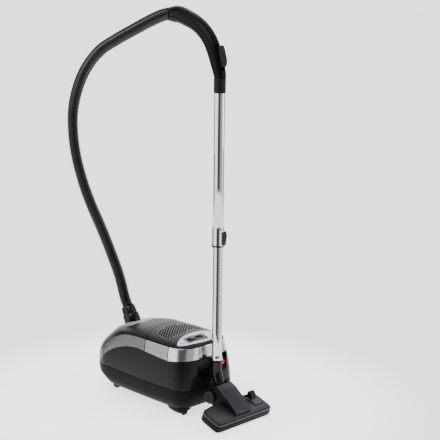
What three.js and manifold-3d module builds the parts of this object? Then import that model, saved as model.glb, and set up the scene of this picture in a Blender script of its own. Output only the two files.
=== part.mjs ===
// Canister vacuum cleaner with hose, telescopic wand and combination floor nozzle.
// Millimetres, +Z up. The floor is z = 0, the hose end of the canister faces -X,
// the parked wand stands behind the rear end (+X) and the machine is symmetric about y = 0.
import * as THREE from 'three';
import * as BGU from 'three/addons/utils/BufferGeometryUtils.js';
import Module from 'manifold-3d';

// ---------- driving dimensions ----------
const SHIFT_X = -93.36;        // puts the origin under the middle of the bounding box
const SKIN = 3.0;             // wall thickness of the canister shell
const SEAM_Z = 93.0;          // joint between base tray and body shell
const GAP = 0.35;             // gap between touching pieces
const WAND_X = 276;           // wand axis behind the canister
const TUBE_R_UP = 17.5, TUBE_R_LOW = 16.0;
const UP_Z0 = 572, UP_Z1 = 1066;
const LOW_Z0 = 188, LOW_Z1 = 690;
const PIV = [283, 68.8];        // nozzle tilt axis, x and z
const TILT = 20 * Math.PI / 180;
const NOZ_HALF = 127;         // half width of the floor nozzle
const CASTER_REAR = [206, 83], CASTER_FRONT = [-137, 66];
const WHEEL_R = 9.4;
const HOSE_R = 19;
const PORT = [-123, 226];     // centre of the inlet on the nose
const PORT_LEAN = 28 * Math.PI / 180;

// outer form of the canister: z, front x, rear x, half width, front radius, rear radius
const LEVELS = [
  [23.5, -160, 222, 100, 60, 38], [28, -170, 231, 110, 66, 42], [37, -181, 239, 119, 74, 45],
  [49, -198, 243.5, 125.5, 82, 48], [64, -217, 246, 128.7, 88, 50], [93, -223, 246, 129.2, 90, 50],
  [118, -222, 245.6, 128, 90, 52], [144, -215, 245, 126, 90, 56], [165, -201, 244.2, 124, 90, 60],
  [183, -182, 243.4, 122, 90, 64], [205, -157, 242, 119, 88, 68], [218, -138, 240.6, 116.5, 85, 70],
  [229, -117, 238.5, 113.5, 82, 70], [236, -92, 230, 104, 76, 66], [242, -64, 218, 90, 66, 58],
  [247, -32, 200, 70, 52, 48], [250.5, 6, 176, 44, 34, 34], [251.7, 40, 150, 20, 18, 18]];
const TAPER = 0.11;           // how much the sides draw in towards the nose

// ---------- helpers ----------
const wasm = await Module(); wasm.setup();
function toManifold(geo, tol = 1e-4) {
  let g = geo.clone();
  for (const k of Object.keys(g.attributes)) if (k !== 'position') g.deleteAttribute(k);
  g = BGU.mergeVertices(g, tol);
  const idx = g.index.array, out = [];
  for (let i = 0; i < idx.length; i += 3) {
    const a = idx[i], b = idx[i + 1], c = idx[i + 2];
    if (a !== b && b !== c && a !== c) out.push(a, b, c);
  }
  return new wasm.Manifold(new wasm.Mesh({ numProp: 3,
    vertProperties: new Float32Array(g.attributes.position.array), triVerts: new Uint32Array(out) }));
}
function toGeo(m) {
  const mesh = m.getMesh();
  const g = new THREE.BufferGeometry();
  const np = mesh.numProp, n = mesh.vertProperties.length / np, p = new Float32Array(n * 3);
  for (let i = 0; i < n; i++) for (let k = 0; k < 3; k++) p[3 * i + k] = mesh.vertProperties[np * i + k];
  g.setAttribute('position', new THREE.BufferAttribute(p, 3));
  g.setIndex(new THREE.BufferAttribute(new Uint32Array(mesh.triVerts), 1));
  g.computeVertexNormals();
  return g;
}
const S = (g, tol) => toManifold(g, tol);
function boxG(x0, x1, y0, y1, z0, z1) {
  const g = new THREE.BoxGeometry(x1 - x0, y1 - y0, z1 - z0);
  g.translate((x0 + x1) / 2, (y0 + y1) / 2, (z0 + z1) / 2); return g;
}
const box = (...a) => S(boxG(...a));
function shapeOf(pts) { return new THREE.Shape(pts.map(p => new THREE.Vector2(p[0], p[1]))); }
// outline in XY, extruded along Z
function prismXY(pts, z0, z1) {
  const g = new THREE.ExtrudeGeometry(shapeOf(pts), { depth: z1 - z0, bevelEnabled: false, steps: 1 });
  g.translate(0, 0, z0); return S(g);
}
// outline in XZ, extruded along Y
function prismXZ(pts, y0, y1) {
  const g = new THREE.ExtrudeGeometry(shapeOf(pts), { depth: y1 - y0, bevelEnabled: false, steps: 1 });
  g.rotateX(Math.PI / 2); g.translate(0, y1, 0); return S(g);
}
// solid of revolution about an axis through c; profile [r, t] starts and ends on the axis or closes on itself
function latheG(profile, seg, axis, c) {
  const g = new THREE.LatheGeometry(profile.map(p => new THREE.Vector2(p[0], p[1])), seg);
  if (axis === 'z') g.rotateX(Math.PI / 2);
  if (axis === 'x') g.rotateZ(-Math.PI / 2);
  g.translate(c[0], c[1], c[2]); return g;
}
function signedFix(geo) {   // turns a closed solid right side out
  let g = geo.clone();
  for (const k of Object.keys(g.attributes)) if (k !== 'position') g.deleteAttribute(k);
  g = BGU.mergeVertices(g, 1e-4);
  const p = g.attributes.position.array, ix = g.index.array; let v = 0;
  for (let i = 0; i < ix.length; i += 3) {
    const a = 3 * ix[i], b = 3 * ix[i + 1], c = 3 * ix[i + 2];
    v += p[a] * (p[b + 1] * p[c + 2] - p[b + 2] * p[c + 1]) - p[a + 1] * (p[b] * p[c + 2] - p[b + 2] * p[c])
      + p[a + 2] * (p[b] * p[c + 1] - p[b + 1] * p[c]);
  }
  if (v < 0) for (let i = 0; i < ix.length; i += 3) { const t = ix[i]; ix[i] = ix[i + 1]; ix[i + 1] = t; }
  return g;
}
const lathe = (profile, seg, axis, c) => S(signedFix(latheG(profile, seg, axis, c)));
const ring = (r0, r1, t0, t1, seg, axis, c) => lathe([[r0, t0], [r1, t0], [r1, t1], [r0, t1], [r0, t0]], seg, axis, c);
const rod = (r, t0, t1, seg, axis, c) => lathe([[0, t0], [r, t0], [r, t1], [0, t1]], seg, axis, c);
// rotation of a solid about the Y direction through a point, positive lowers +X
function turnY(m, ang, x, z) {
  const g = toGeo(m); g.translate(-x, 0, -z); g.rotateY(ang); g.translate(x, 0, z); return S(g);
}
// plan outline of one level
function plan(l, inset = 0, n = 4) {
  let [z, xf, xr, w, rf, rr] = l;
  xf += inset; xr -= inset; w -= inset; rf = Math.max(rf - inset, 6); rr = Math.max(rr - inset, 6);
  rf = Math.min(rf, w - 1); rr = Math.min(rr, w - 1);
  const p = [];
  const arc = (cx, cy, r, a0, a1) => { for (let k = 0; k <= n; k++) {
    const a = (a0 + (a1 - a0) * k / n) * Math.PI / 180; p.push([cx + r * Math.cos(a), cy + r * Math.sin(a)]); } };
  arc(xr - rr, w - rr, rr, 0, 90);
  const xa = xr - rr, xb = xf + rf, x1 = xa + (xb - xa) / 3, x2 = xa + 2 * (xb - xa) / 3;
  p.push([x1, w], [x2, w]);
  arc(xf + rf, w - rf, rf, 90, 180); arc(xf + rf, -w + rf, rf, 180, 270);
  p.push([x2, -w], [x1, -w]);
  arc(xr - rr, -w + rr, rr, 270, 360);
  return p.map(([x, y]) => [x, y * (1 - TAPER * Math.max(0, (80 - x) / 300))]);
}
function loft(levels, inset, dzLow, dzHigh) {
  const rings = levels.map(l => {
    const dz = l[0] < SEAM_Z - 1 ? dzLow : (l[0] > SEAM_Z + 1 ? -dzHigh : 0);
    return { z: l[0] + dz, p: plan(l, inset) };
  });
  const n = rings[0].p.length, pos = [], idx = [];
  rings.forEach(r => r.p.forEach(q => pos.push(q[0], q[1], r.z)));
  for (let k = 0; k + 1 < rings.length; k++) for (let i = 0; i < n; i++) {
    const a = k * n + i, b = k * n + (i + 1) % n, c = a + n, d = b + n;
    idx.push(a, b, d, a, d, c);
  }
  const cap = (k, up) => { const c = pos.length / 3; let sx = 0, sy = 0;
    rings[k].p.forEach(q => { sx += q[0]; sy += q[1]; });
    pos.push(sx / n, sy / n, rings[k].z);
    for (let i = 0; i < n; i++) { const a = k * n + i, b = k * n + (i + 1) % n; up ? idx.push(a, b, c) : idx.push(b, a, c); } };
  cap(0, false); cap(rings.length - 1, true);
  const g = new THREE.BufferGeometry();
  g.setAttribute('position', new THREE.BufferAttribute(new Float32Array(pos), 3)); g.setIndex(idx);
  return S(signedFix(g));
}
// pipe along a curve in the y = 0 plane
function sweep(points, outer, inner, seg, steps) {
  const c = new THREE.CatmullRomCurve3(points.map(p => new THREE.Vector3(p[0], p[1], p[2])), false, 'centripetal');
  const sh = new THREE.Shape(); sh.absarc(0, 0, outer, 0, 2 * Math.PI, false);
  if (inner > 0) { const h = new THREE.Path(); h.absarc(0, 0, inner, 0, 2 * Math.PI, true); sh.holes.push(h); }
  return new THREE.ExtrudeGeometry(sh, { steps, bevelEnabled: false, extrudePath: c, curveSegments: seg });
}
const group = new THREE.Group(); group.name = 'canister_vacuum';
const body = new THREE.Group(); body.position.set(SHIFT_X, 0, 0); group.add(body);
function pinched(g, chi) {   // an edge used by other than two faces once coordinates are rounded, or a sliver face
  const p = g.attributes.position, ix = g.index.array, E = new Map(), v = [0, 1, 2].map(() => new THREE.Vector3());
  const key = (i) => [p.getX(i) + SHIFT_X, p.getY(i), p.getZ(i)].map(x => (Math.round(x * 1e3) / 1e3).toFixed(3)).join();
  for (let i = 0; i < ix.length; i += 3) {
    const k = [key(ix[i]), key(ix[i + 1]), key(ix[i + 2])];
    if (k[0] === k[1] || k[1] === k[2] || k[0] === k[2]) return true;
    for (let j = 0; j < 3; j++) { const q = [k[j], k[(j + 1) % 3]].sort().join('|'); E.set(q, (E.get(q) || 0) + 1); v[j].fromBufferAttribute(p, ix[i + j]); }
    const long = Math.max(v[0].distanceTo(v[1]), v[1].distanceTo(v[2]), v[2].distanceTo(v[0]));
    if (v[1].clone().sub(v[0]).cross(v[2].clone().sub(v[0])).length() / long < 0.003) return true;
  }
  const V = new Set(); for (let i = 0; i < p.count; i++) V.add(key(i));
  return [...E.values()].some(c => c !== 2) || V.size - E.size + ix.length / 3 !== chi;
}
function add(name, m, color, roughness, metalness = 0) {
  let g;
  if (m.isBufferGeometry) g = signedFix(m); else {
    // slivers thinner than a few hundredths of a millimetre are closed up, without pinching two edges together
    let w = null;
    for (const [keep, tol, last] of [[0.06, 0.02, 0.03], [0.06, 0.01, 0.03], [0.04, 0.01, 0.02], [0.1, 0.02, 0.05], [0.03, 4e-3, 0.02], [0.02, 2e-3, 0.01], [0.15, 0.02, 0.06], [0.01, 1e-3, 0]]) {
      try {
        let t = S(toGeo(m.simplify(keep)), tol); if (last) t = t.simplify(last);
        t = t.decompose().sort((a, b) => b.volume() - a.volume())[0];
        if (!pinched(toGeo(t), t.numVert() - t.numEdge() + t.numTri())) { w = t; break; }
      } catch (e) { continue; }
    }
    if (!w) throw new Error(name + ' stays pinched');
    const parts = w.decompose().sort((a, b) => b.volume() - a.volume());
    if (parts.length > 1 && parts[1].volume() > 60) throw new Error(name + ' has ' + parts.length + ' bodies, ' + parts.map(p => p.volume().toFixed(0)).slice(0, 5));
    g = toGeo(parts[0]);
  }
  const mesh = new THREE.Mesh(g, new THREE.MeshStandardMaterial({ color, roughness, metalness }));
  mesh.name = name; body.add(mesh); return mesh;
}
const DARK = 0x1d1e20, SILVER = 0xb4b6b8, CHROME = 0xdedfe0, BLUEGREY = 0x4a4f58, GREY = 0x6b7076;

// ---------- canister shell ----------
const F = loft(LEVELS, 0, 0, 0);
const Fi = loft(LEVELS, SKIN, SKIN + 0.5, SKIN);
const shell = F.subtract(Fi);
const far = 400;
// lower and upper edge of the silver trim, seen from the side
const ZB = [[-182, 93], [-160, 112], [-138, 136], [-95, 163], [-37, 184], [17, 192.5], [57, 191.5], [138, 186], [172, 185], [205, 188], [250, 191]];
const ZT = [[-240, 98], [-205, 108], [-186, 124], [-163, 147], [-119, 189], [-90, 206], [-40, 222.3], [9, 227.5], [58, 228.1], [250, 228.1]];
const lift = (pts, d) => pts.map(p => [p[0], p[1] + d]);
const belowStrip = prismXZ([[-181.2, SEAM_Z + GAP], ...lift(ZB, -GAP).slice(1), [250, SEAM_Z + GAP]], -200, 200);
const stripZone = prismXZ([[-240, SEAM_Z + GAP], [-182 - GAP, SEAM_Z + GAP], ...ZB.slice(1), ...[...ZT].reverse()], -200, 200);
const aboveStrip = prismXZ([...lift(ZT, GAP), [250, 300], [-240, 300]], -200, 200);

// rear recess: wide niche in which the parked wand and the mains plug sit
const REC = { x0: 206, y0: -43, y1: 80, z0: 128, z1: 187 };
const recessHole = box(REC.x0 - GAP, 260, REC.y0 - GAP, REC.y1 + GAP, REC.z0 - GAP, REC.z1 + GAP);
const brk = { x0: 236, x1: 257.6, y: 16, z0: 112, z1: 124.8 };
const bracketHole = box(brk.x0 - 5, 270, -brk.y - GAP, brk.y + GAP, brk.z0 - GAP, REC.z0 + 1);
add('body_shell', shell.intersect(belowStrip).subtract(recessHole).subtract(bracketHole), DARK, 0.38);
const liner = box(REC.x0, 245.2, REC.y0, REC.y1, REC.z0, REC.z1)
  .subtract(box(REC.x0 + 2.4, 260, REC.y0 + 2.4, REC.y1 - 2.4, REC.z0 + 2.4, REC.z1 - 2.4)).intersect(loft(LEVELS, 0.4, 0, 0));

// parking bracket with an open-topped slot for the wand's hook
const slot = box(248.2, 254.5, -9, 9, brk.z0 + 3, 200);
add('parking_bracket', liner.add(box(brk.x0, brk.x1, -brk.y, brk.y, brk.z0, brk.z1)).add(box(brk.x0, 246, -brk.y, brk.y, brk.z1 - 1, REC.z0 + 2)).subtract(slot), 0x131315, 0.55);

// base tray with caster housings
let tray = F.intersect(box(-far, far, -far, far, 0, SEAM_Z - GAP)).subtract(Fi);
const holes = [];
for (const [cx, cy] of [[CASTER_REAR[0], CASTER_REAR[1]], [CASTER_REAR[0], -CASTER_REAR[1]]]) {
  tray = tray.add(lathe([[0, 9], [23.5, 9], [26.5, 16], [27, 26], [27, 29], [0, 29]], 18, 'z', [cx, cy, 0]));
  holes.push(lathe([[0, 5], [21.3, 5], [21.3, 23.6], [0, 23.6]], 18, 'z', [cx, cy, 0]));
}
for (const [cx, cy] of [[CASTER_FRONT[0], CASTER_FRONT[1]], [CASTER_FRONT[0], -CASTER_FRONT[1]]])
  tray = tray.add(lathe([[0, 23.3], [17, 23.3], [18, 27], [0, 27]], 16, 'z', [cx, cy, 0]));
holes.forEach(h => { tray = tray.subtract(h); });
add('base_tray', tray, DARK, 0.45);

// silver trim in six lengths
const strip = shell.intersect(stripZone);
const cutX = (m, a, b) => m.intersect(box(a, b, -far, far, -10, 400));
const half = (m, s) => m.intersect(s > 0 ? box(-far, far, 0, far, -10, 400) : box(-far, far, -far, 0, -10, 400));
add('trim_nose', cutX(strip, -300, -152), SILVER, 0.35, 0.55);
add('trim_front_left', half(cutX(strip, -151.3, 60.3), -1), SILVER, 0.35, 0.55);
add('trim_front_right', half(cutX(strip, -151.3, 60.3), 1), SILVER, 0.35, 0.55);
add('trim_mid_left', half(cutX(strip, 61, 170.3), -1), SILVER, 0.33, 0.6);
add('trim_mid_right', half(cutX(strip, 61, 170.3), 1), SILVER, 0.33, 0.6);
add('trim_rear', cutX(strip, 171, 300), CHROME, 0.16, 0.95);

// top: inlet plate, lid, rear cover, grille, control panel
const topSkin = shell.intersect(aboveStrip);
const ca = Math.cos(PORT_LEAN), sa = Math.sin(PORT_LEAN);
// a solid given in port coordinates (u downslope to the rear, y, t along the port axis) put in place
function portPlace(m) { const g = toGeo(m); g.rotateY(-PORT_LEAN); g.translate(PORT[0], 0, PORT[1]); return S(g); }
const plateOutline = (d) => [[-34 - d, -40 - d], [-22 - d, -58 - d], [20, -66 - d], [46 + d, -74 - d], [61 + d, -64 - d], [61 + d, 64 + d], [46 + d, 74 + d], [20, 66 + d], [-22 - d, 58 + d], [-34 - d, 40 + d]];
const plateZone = portPlace(prismXY(plateOutline(0), -34, 40));
const plateHole = portPlace(prismXY(plateOutline(0.85), -40, 60));
let plate = topSkin.intersect(plateZone);
let ribs = portPlace(box(-60, 60, -100, 100, -60, 60)).intersect(loft(LEVELS, -1.2, 0, -1.0)).subtract(loft(LEVELS, 0.6, 0, 0.6));
for (let k = 0; k < 4; k++) {
  const u = -26 + 14 * k;
  plate = plate.add(ribs.intersect(portPlace(box(u, u + 6.5, -52, 52, -30, 40))));
}
plate = plate.subtract(portPlace(rod(28.0, -60, 60, 24, 'z', [0, 0, 0])));
add('inlet_plate', plate, 0xa0a2a4, 0.42, 0.5);

const seamX = (y, d) => 30 + 30 * Math.pow(y / 105, 2) + d;
const seamPts = (d) => { const o = []; for (let k = 0; k <= 12; k++) { const y = -131 + 262 * k / 12; o.push([seamX(y, d), y]); } return o; };
const lidZone = prismXY([[-300, -131], ...seamPts(-1.1), [-300, 131]], 90, 300);
add('lid', topSkin.intersect(lidZone).subtract(plateHole), DARK, 0.3);
const coverZone = prismXY([[300, 131], ...seamPts(1.1).reverse(), [300, -131]], 90, 300);
const grilleOutline = (d) => [[52 - d, 0], [58 - d, -50 - d], [74, -74 - d], [100, -88 - d], [134, -92 - d], [150 + d, -80 - d], [146 + d, 0], [150 + d, 80 + d], [134, 92 + d], [100, 88 + d], [74, 74 + d], [58 - d, 50 + d]];
const panelOutline = (d) => [[164 - d, 0], [168 - d, -36 - d], [176 - d, -66 - d], [190, -96 - d], [204 + d, -92 - d], [218 + d, -70 - d], [226 + d, -36], [227 + d, 0], [226 + d, 36], [218 + d, 70 + d], [204 + d, 92 + d], [190, 96 + d], [176 - d, 66 + d], [168 - d, 36 + d]];
let cover = topSkin.intersect(coverZone).subtract(prismXY(grilleOutline(0.6), 90, 300)).subtract(prismXY(panelOutline(0.6), 90, 300));
add('rear_top_cover', cover, DARK, 0.32);
let grille = topSkin.intersect(prismXY(grilleOutline(0), 90, 300));
const slotsG = [];
for (let r = 0; r < 8; r++) for (let c = -3; c <= 3; c++) {
  const x = 64 + r * 10.4, y = c * 22 + (r % 2 ? 11 : 0);
  const lim = x < 72 ? 52 : (x < 90 ? 68 : 80);
  if (Math.abs(y) + 8 > lim || x + 3 > 146) continue;
  slotsG.push(boxG(x - 2.2, x + 2.2, y - 7, y + 7, 200, 300));
}
grille = grille.subtract(S(BGU.mergeGeometries(slotsG)));
add('exhaust_grille', grille, 0x18191b, 0.45);
// panel with openings for the two pedals and the regulator window
const pedalY = 74, pedOut = (s, d) => s < 0 ? [[186 - d, d - 70], [191 - d, -84 - d], [199 + d, -84 - d], [207 + d, d - 70]] : [[182 - d, 58 - d], [186 - d, 84 + d], [200 + d, 84 + d], [209 + d, 58 - d]];
const winOut = (d) => [[184 - d, -64 - d], [214 + d, -66 - d], [219 + d, -22], [219.5 + d, 20 + d], [186 - d, 23 + d], [182 - d, -20]];
const fixOrder = (pts) => { let a = 0; pts.forEach((p, i) => { const q = pts[(i + 1) % pts.length]; a += p[0] * q[1] - p[1] * q[0]; }); return a < 0 ? [...pts].reverse() : pts; };
const raised = loft(LEVELS, -0.8, 0, -0.8);
const panelSkin = raised.subtract(Fi).intersect(aboveStrip);
let panel = panelSkin.intersect(prismXY(panelOutline(0), 90, 300)).subtract(prismXY(fixOrder(pedOut(1, 0.7)), 90, 300))
  .subtract(prismXY(fixOrder(pedOut(-1, 0.7)), 90, 300)).subtract(prismXY(winOut(0.5), 90, 300));
add('control_panel', panel, SILVER, 0.3, 0.6);
const thin = loft(LEVELS, 0.5, 0, 0.5).subtract(loft(LEVELS, 2.2, 0, 2.2)).intersect(aboveStrip);
let windowP = thin.intersect(prismXY(winOut(0), 90, 300)).subtract(box(190.5, 205.5, -54, 10, 200, 300));
add('regulator_window', windowP, 0x2a2d31, 0.25);
const knobTop = loft(LEVELS, -3.5, 0, -3.5).subtract(loft(LEVELS, 4.5, 0, 4.5));
const KNOB_Y = -34;
const knobG = knobTop.intersect(box(191.2, 204.8, KNOB_Y - 9, KNOB_Y + 9, 200, 300));
add('regulator_knob', knobG, SILVER, 0.3, 0.5);
const pedSkin = loft(LEVELS, -2.4, 0, -2.4).subtract(loft(LEVELS, 1.6, 0, 1.6));
add('power_pedal', pedSkin.intersect(prismXY(fixOrder(pedOut(-1, 0)), 90, 300)), 0xc4c6c8, 0.28, 0.6);
add('rewind_pedal', pedSkin.intersect(prismXY(fixOrder(pedOut(1, 0)), 90, 300)), 0xc4c6c8, 0.28, 0.6);

// lid latch: a push bar under the inlet plate at the front of the lid
add('lid_latch', box(-79, -71, -15, 15, 200, 217), 0x18191b, 0.5);

// inlet port ring and hose cuff, in port coordinates
add('inlet_port', portPlace(lathe([[24.6, -26], [27.4, -26], [27.4, 2.2], [30.2, 3], [30.2, 5.2], [24.6, 5.2], [24.6, -26]], 24, 'z', [0, 0, 0])), 0x232427, 0.5);
add('hose_cuff', portPlace(lathe([[17, -18], [24.2, -18], [24.2, 5.6], [28.8, 5.8], [28.6, 17], [27.6, 28], [25, 30], [25, 33], [25.4, 34], [22.6, 58], [17, 58], [17, -18]], 24, 'z', [0, 0, 0])
  .subtract(box(16, 30, -5.5, 5.5, 10.5, 23.5))), 0x1b1c1e, 0.35);
// release button set in a pocket of the cuff
function cuffPlace(m) { const g = toGeo(m); g.rotateZ(-38 * Math.PI / 180); return g; }
add('cuff_button', portPlace(box(22.8, 31.2, -4.8, 4.8, 11.2, 22.8).intersect(rod(31.2, 8, 25, 24, 'z', [0, 0, 0]))), 0x26272a, 0.4);

// ---------- inside ----------
add('motor_housing', box(36, 41, -96, 96, 32, 184).subtract(rod(30, 30, 50, 22, 'x', [0, 0, 100])).add(lathe([[0, 40], [30, 40], [52, 48], [56, 56], [56, 104], [50, 112], [46, 112], [50, 102], [50, 60], [26, 47], [0, 47]], 22, 'x', [0, 0, 100]))
  .subtract(rod(20, 34, 50, 18, 'x', [0, 0, 100])), 0x3a3b3d, 0.5);
const fanB = []; let fan = rod(40, 66, 69, 20, 'x', [0, 0, 100]).add(rod(9, 60, 84, 14, 'x', [0, 0, 100]));
for (let k = 0; k < 8; k++) { const g = boxG(68.5, 80, -1.2, 1.2, 8, 38); g.rotateX(k * Math.PI / 4); g.translate(0, 0, 100); fan = fan.add(S(g)); }
add('motor_fan', fan, 0x8c8f92, 0.4, 0.3);
add('cord_reel', lathe([[0, 34], [50, 34], [50, 37], [22, 37], [22, 66], [50, 66], [50, 69], [0, 69]], 22, 'z', [168, 14, 0]), 0x2a2a2c, 0.5);
add('exhaust_filter', box(62, 142, -72, 72, 196, 216), 0xe9e6da, 0.9);
add('dust_bag', (() => { const g = new THREE.SphereGeometry(1, 16, 10); const p = g.attributes.position;
  for (let i = 0; i < p.count; i++) { const v = new THREE.Vector3().fromBufferAttribute(p, i);
    const f = (t, k) => Math.sign(t) * Math.pow(Math.abs(t), k); p.setXYZ(i, -58 + 72 * f(v.x, 0.7), 76 * f(v.y, 0.7), 98 + 62 * f(v.z, 0.7)); }
  return S(signedFix(g)); })(), 0xd9cfb8, 0.95);

// mains plug parked at the cord outlet in the recess
const plug = rod(11.4, 209.5, 237.6, 18, 'x', [0, 65.6, 155]).add(box(209.5, 241, 58.6, 72.6, 133.4, 144));
add('mains_plug', plug.add(rod(2.2, 235, 247, 10, 'x', [0, 61.2, 138.6])).add(rod(2.2, 235, 247, 10, 'x', [0, 70, 138.6])), 0x17181a, 0.5);
add('plug_mark', rod(9.5, 237.95, 241.3, 18, 'x', [0, 66.8, 155]), 0xe21b3c, 0.4);

// casters
function caster(tag, cx, cy, top) {
  const f = box(cx - 5, cx + 11, cy - 10.6, cy - 8.2, 6, top - 3).add(box(cx - 5, cx + 11, cy + 8.2, cy + 10.6, 6, top - 3))
    .add(lathe([[0, top - 3.2], [15, top - 3.2], [15, top], [0, top]], 16, 'z', [cx, cy, 0]))
    .add(rod(2.2, -9, 9, 10, 'y', [cx + 5, cy, WHEEL_R]));
  add('caster_fork_' + tag, f, 0x202124, 0.5);
  add('caster_wheel_' + tag, lathe([[2.6, -7.2], [7.6, -7.2], [WHEEL_R, -5.4], [WHEEL_R, 5.4], [7.6, 7.2], [2.6, 7.2], [2.6, -7.2]], 14, 'y', [cx + 5, cy, WHEEL_R]), 0x161617, 0.6);
}
caster('rear_left', CASTER_REAR[0], -CASTER_REAR[1], 23.2);
caster('rear_right', CASTER_REAR[0], CASTER_REAR[1], 23.2);
caster('front_left', CASTER_FRONT[0], -CASTER_FRONT[1], 22.9);
caster('front_right', CASTER_FRONT[0], CASTER_FRONT[1], 22.9);

// ---------- hose ----------
const onPort = (t) => [PORT[0] - sa * t, 0, PORT[1] + ca * t];
const HOSE = [onPort(58.5), onPort(72), onPort(90), [-190.5, 0, 372], [-235.6, 0, 452.7], [-284.8, 0, 530.5], [-339.3, 0, 608.1], [-384.1, 0, 687.9],
  [-416.1, 0, 769.8], [-432, 0, 853], [-429, 0, 939], [-397.9, 0, 1025.7], [-352, 0, 1092], [-282, 0, 1152],
  [-200.7, 0, 1192], [-121.7, 0, 1225.7], [-45, 0, 1257.5], [14, 0, 1278.5], [44, 0, 1285.4], [60.3, 0, 1286]];
const HOSE_BORE = [onPort(56), ...HOSE.slice(1, -1), [63, 0, 1286]];
add('hose', S(sweep(HOSE, HOSE_R, 0, 5, 52)).subtract(S(sweep(HOSE_BORE, 15.5, 0, 5, 52))), 0x151516, 0.5);

// ---------- handle and upper wand ----------
// centre line of the handle from the hose end down to the spigot, with its radius along the way
const HANDLE = [[72, 1286, 27], [100, 1285.5, 27], [133, 1276, 26.5], [166, 1264, 25.5], [196, 1247, 25], [221, 1225, 24.5], [240, 1200, 24], [255, 1168, 23.3], [266, 1138, 22.2], [273.5, 1116, 21], [276, 1106, 20], [276, 1098.2, 19.5]];
function handleShell(side) {
  const n = 8, pos = [], idx = [], m = HANDLE.length;
  for (let k = 0; k < m; k++) {
    const a = HANDLE[Math.max(0, k - 1)], b = HANDLE[Math.min(m - 1, k + 1)];
    let tx = b[0] - a[0], tz = b[1] - a[1]; const L = Math.hypot(tx, tz); tx /= L; tz /= L;
    const nx = -tz, nz = tx, [cx, cz, r] = HANDLE[k];
    const sec = [];
    for (let i = 0; i <= n; i++) { const t = Math.PI * i / n; sec.push([Math.cos(t) * r, Math.sin(t) * r * 0.93 + 0.2]); }
    for (let i = n; i >= 0; i--) { const t = Math.PI * i / n; sec.push([Math.cos(t) * (r - 3), Math.sin(t) * (r * 0.93 - 3) + 0.2]); }
    sec.forEach(([u, v]) => pos.push(cx + nx * u, side * v, cz + nz * u));
  }
  const q = 2 * (n + 1);
  for (let k = 0; k + 1 < m; k++) for (let i = 0; i < q; i++) {
    const a = k * q + i, b = k * q + (i + 1) % q, c = a + q, d = b + q; idx.push(a, b, d, a, d, c);
  }
  for (const k of [0, m - 1]) for (let i = 0; i < n; i++) {
    const a = k * q + i, b = a + 1, c = k * q + q - 1 - i, d = c - 1;
    if (k) idx.push(a, b, d, a, d, c); else idx.push(b, a, c, b, c, d);
  }
  const g = new THREE.BufferGeometry(); g.setAttribute('position', new THREE.BufferAttribute(new Float32Array(pos), 3)); g.setIndex(idx);
  return signedFix(g);
}
const sliderCut = box(262, 320, -8, 8, 1122, 1202);
add('handle_shell_left', S(handleShell(-1)).subtract(sliderCut), 0x1c1d1f, 0.42);
add('handle_shell_right', S(handleShell(1)).subtract(sliderCut), 0x1c1d1f, 0.42);
// suction relief slider on the outside of the bend
add('relief_slider', prismXZ([[283, 1200], [274, 1196], [283, 1150], [287, 1134], [297.5, 1134], [301, 1146], [300.5, 1156], [291, 1188]], -7.2, 7.2), 0x232427, 0.5);
add('hose_end_cuff', (() => { const g = latheG([[15, 0], [24, 0], [24, 9.5], [20.4, 9.5], [20.4, 26], [15, 26], [15, 0]], 20, 'x', [0, 0, 0]);
  return S(signedFix(g)); })().translate([61, 0, 1286]), 0x1f2022, 0.45);
add('handle_spigot', lathe([[15, 1052], [18.6, 1052], [18.9, 1075], [19.4, 1097.4], [15.8, 1097.4], [15, 1052]], 20, 'z', [WAND_X, 0, 0])
  .subtract(ring(16.3, 25, 1040, 1066.4, 20, 'z', [WAND_X, 0, 0])), 0x1a1b1d, 0.45);
add('upper_tube', ring(16.5, TUBE_R_UP, UP_Z0, UP_Z1, 20, 'z', [WAND_X, 0, 0]), CHROME, 0.12, 1);
let collar = ring(17.9, 20, 568.4, 628, 20, 'z', [WAND_X, 0, 0]).add(box(WAND_X + 18.1, WAND_X + 24.5, -10.2, 10.2, 568.4, 618))
  .subtract(box(WAND_X + 19.2, WAND_X + 40, -8.2, 8.2, 570.4, 616)).subtract(rod(17.9, 560, 640, 20, 'z', [WAND_X, 0, 0]));
add('telescope_collar', collar, CHROME, 0.14, 1);
add('collar_ring', ring(16.5, 20.8, 563.5, 568, 20, 'z', [WAND_X, 0, 0]), 0x121213, 0.5);
add('lock_button', prismXZ([[298.6, 571], [303.5, 571], [305.5, 588], [307.5, 602], [306.5, 611], [303, 614], [298.6, 615.4]], -7.8, 7.8), 0x141516, 0.4);

// ---------- lower wand ----------
add('lower_tube', lathe([[15, LOW_Z0], [18.8, LOW_Z0], [18.8, 196], [16, 202], [16, LOW_Z1], [15, LOW_Z1], [15, LOW_Z0]], 20, 'z', [WAND_X, 0, 0]), CHROME, 0.12, 1);
const neckPath = [[276, 0, 187.6], [276, 0, 165], [276.6, 0, 147], [281, 0, 128], [288.5, 0, 110], [291, 0, 94], [289, 0, 78]];
let neck = S(signedFix(sweep(neckPath, 17, 0, 8, 12))).add(rod(20.5, -26, 26, 20, 'y', [PIV[0], 0, PIV[1]]));
add('neck', neck, 0x1a1b1d, 0.42);
add('parking_hook', prismXZ([[249.2, 116.2], [253.4, 116.2], [253.4, 140], [258.2, 143], [258.2, 158], [249.2, 152]], -7.6, 7.6), 0x1c1d1f, 0.5);

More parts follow.
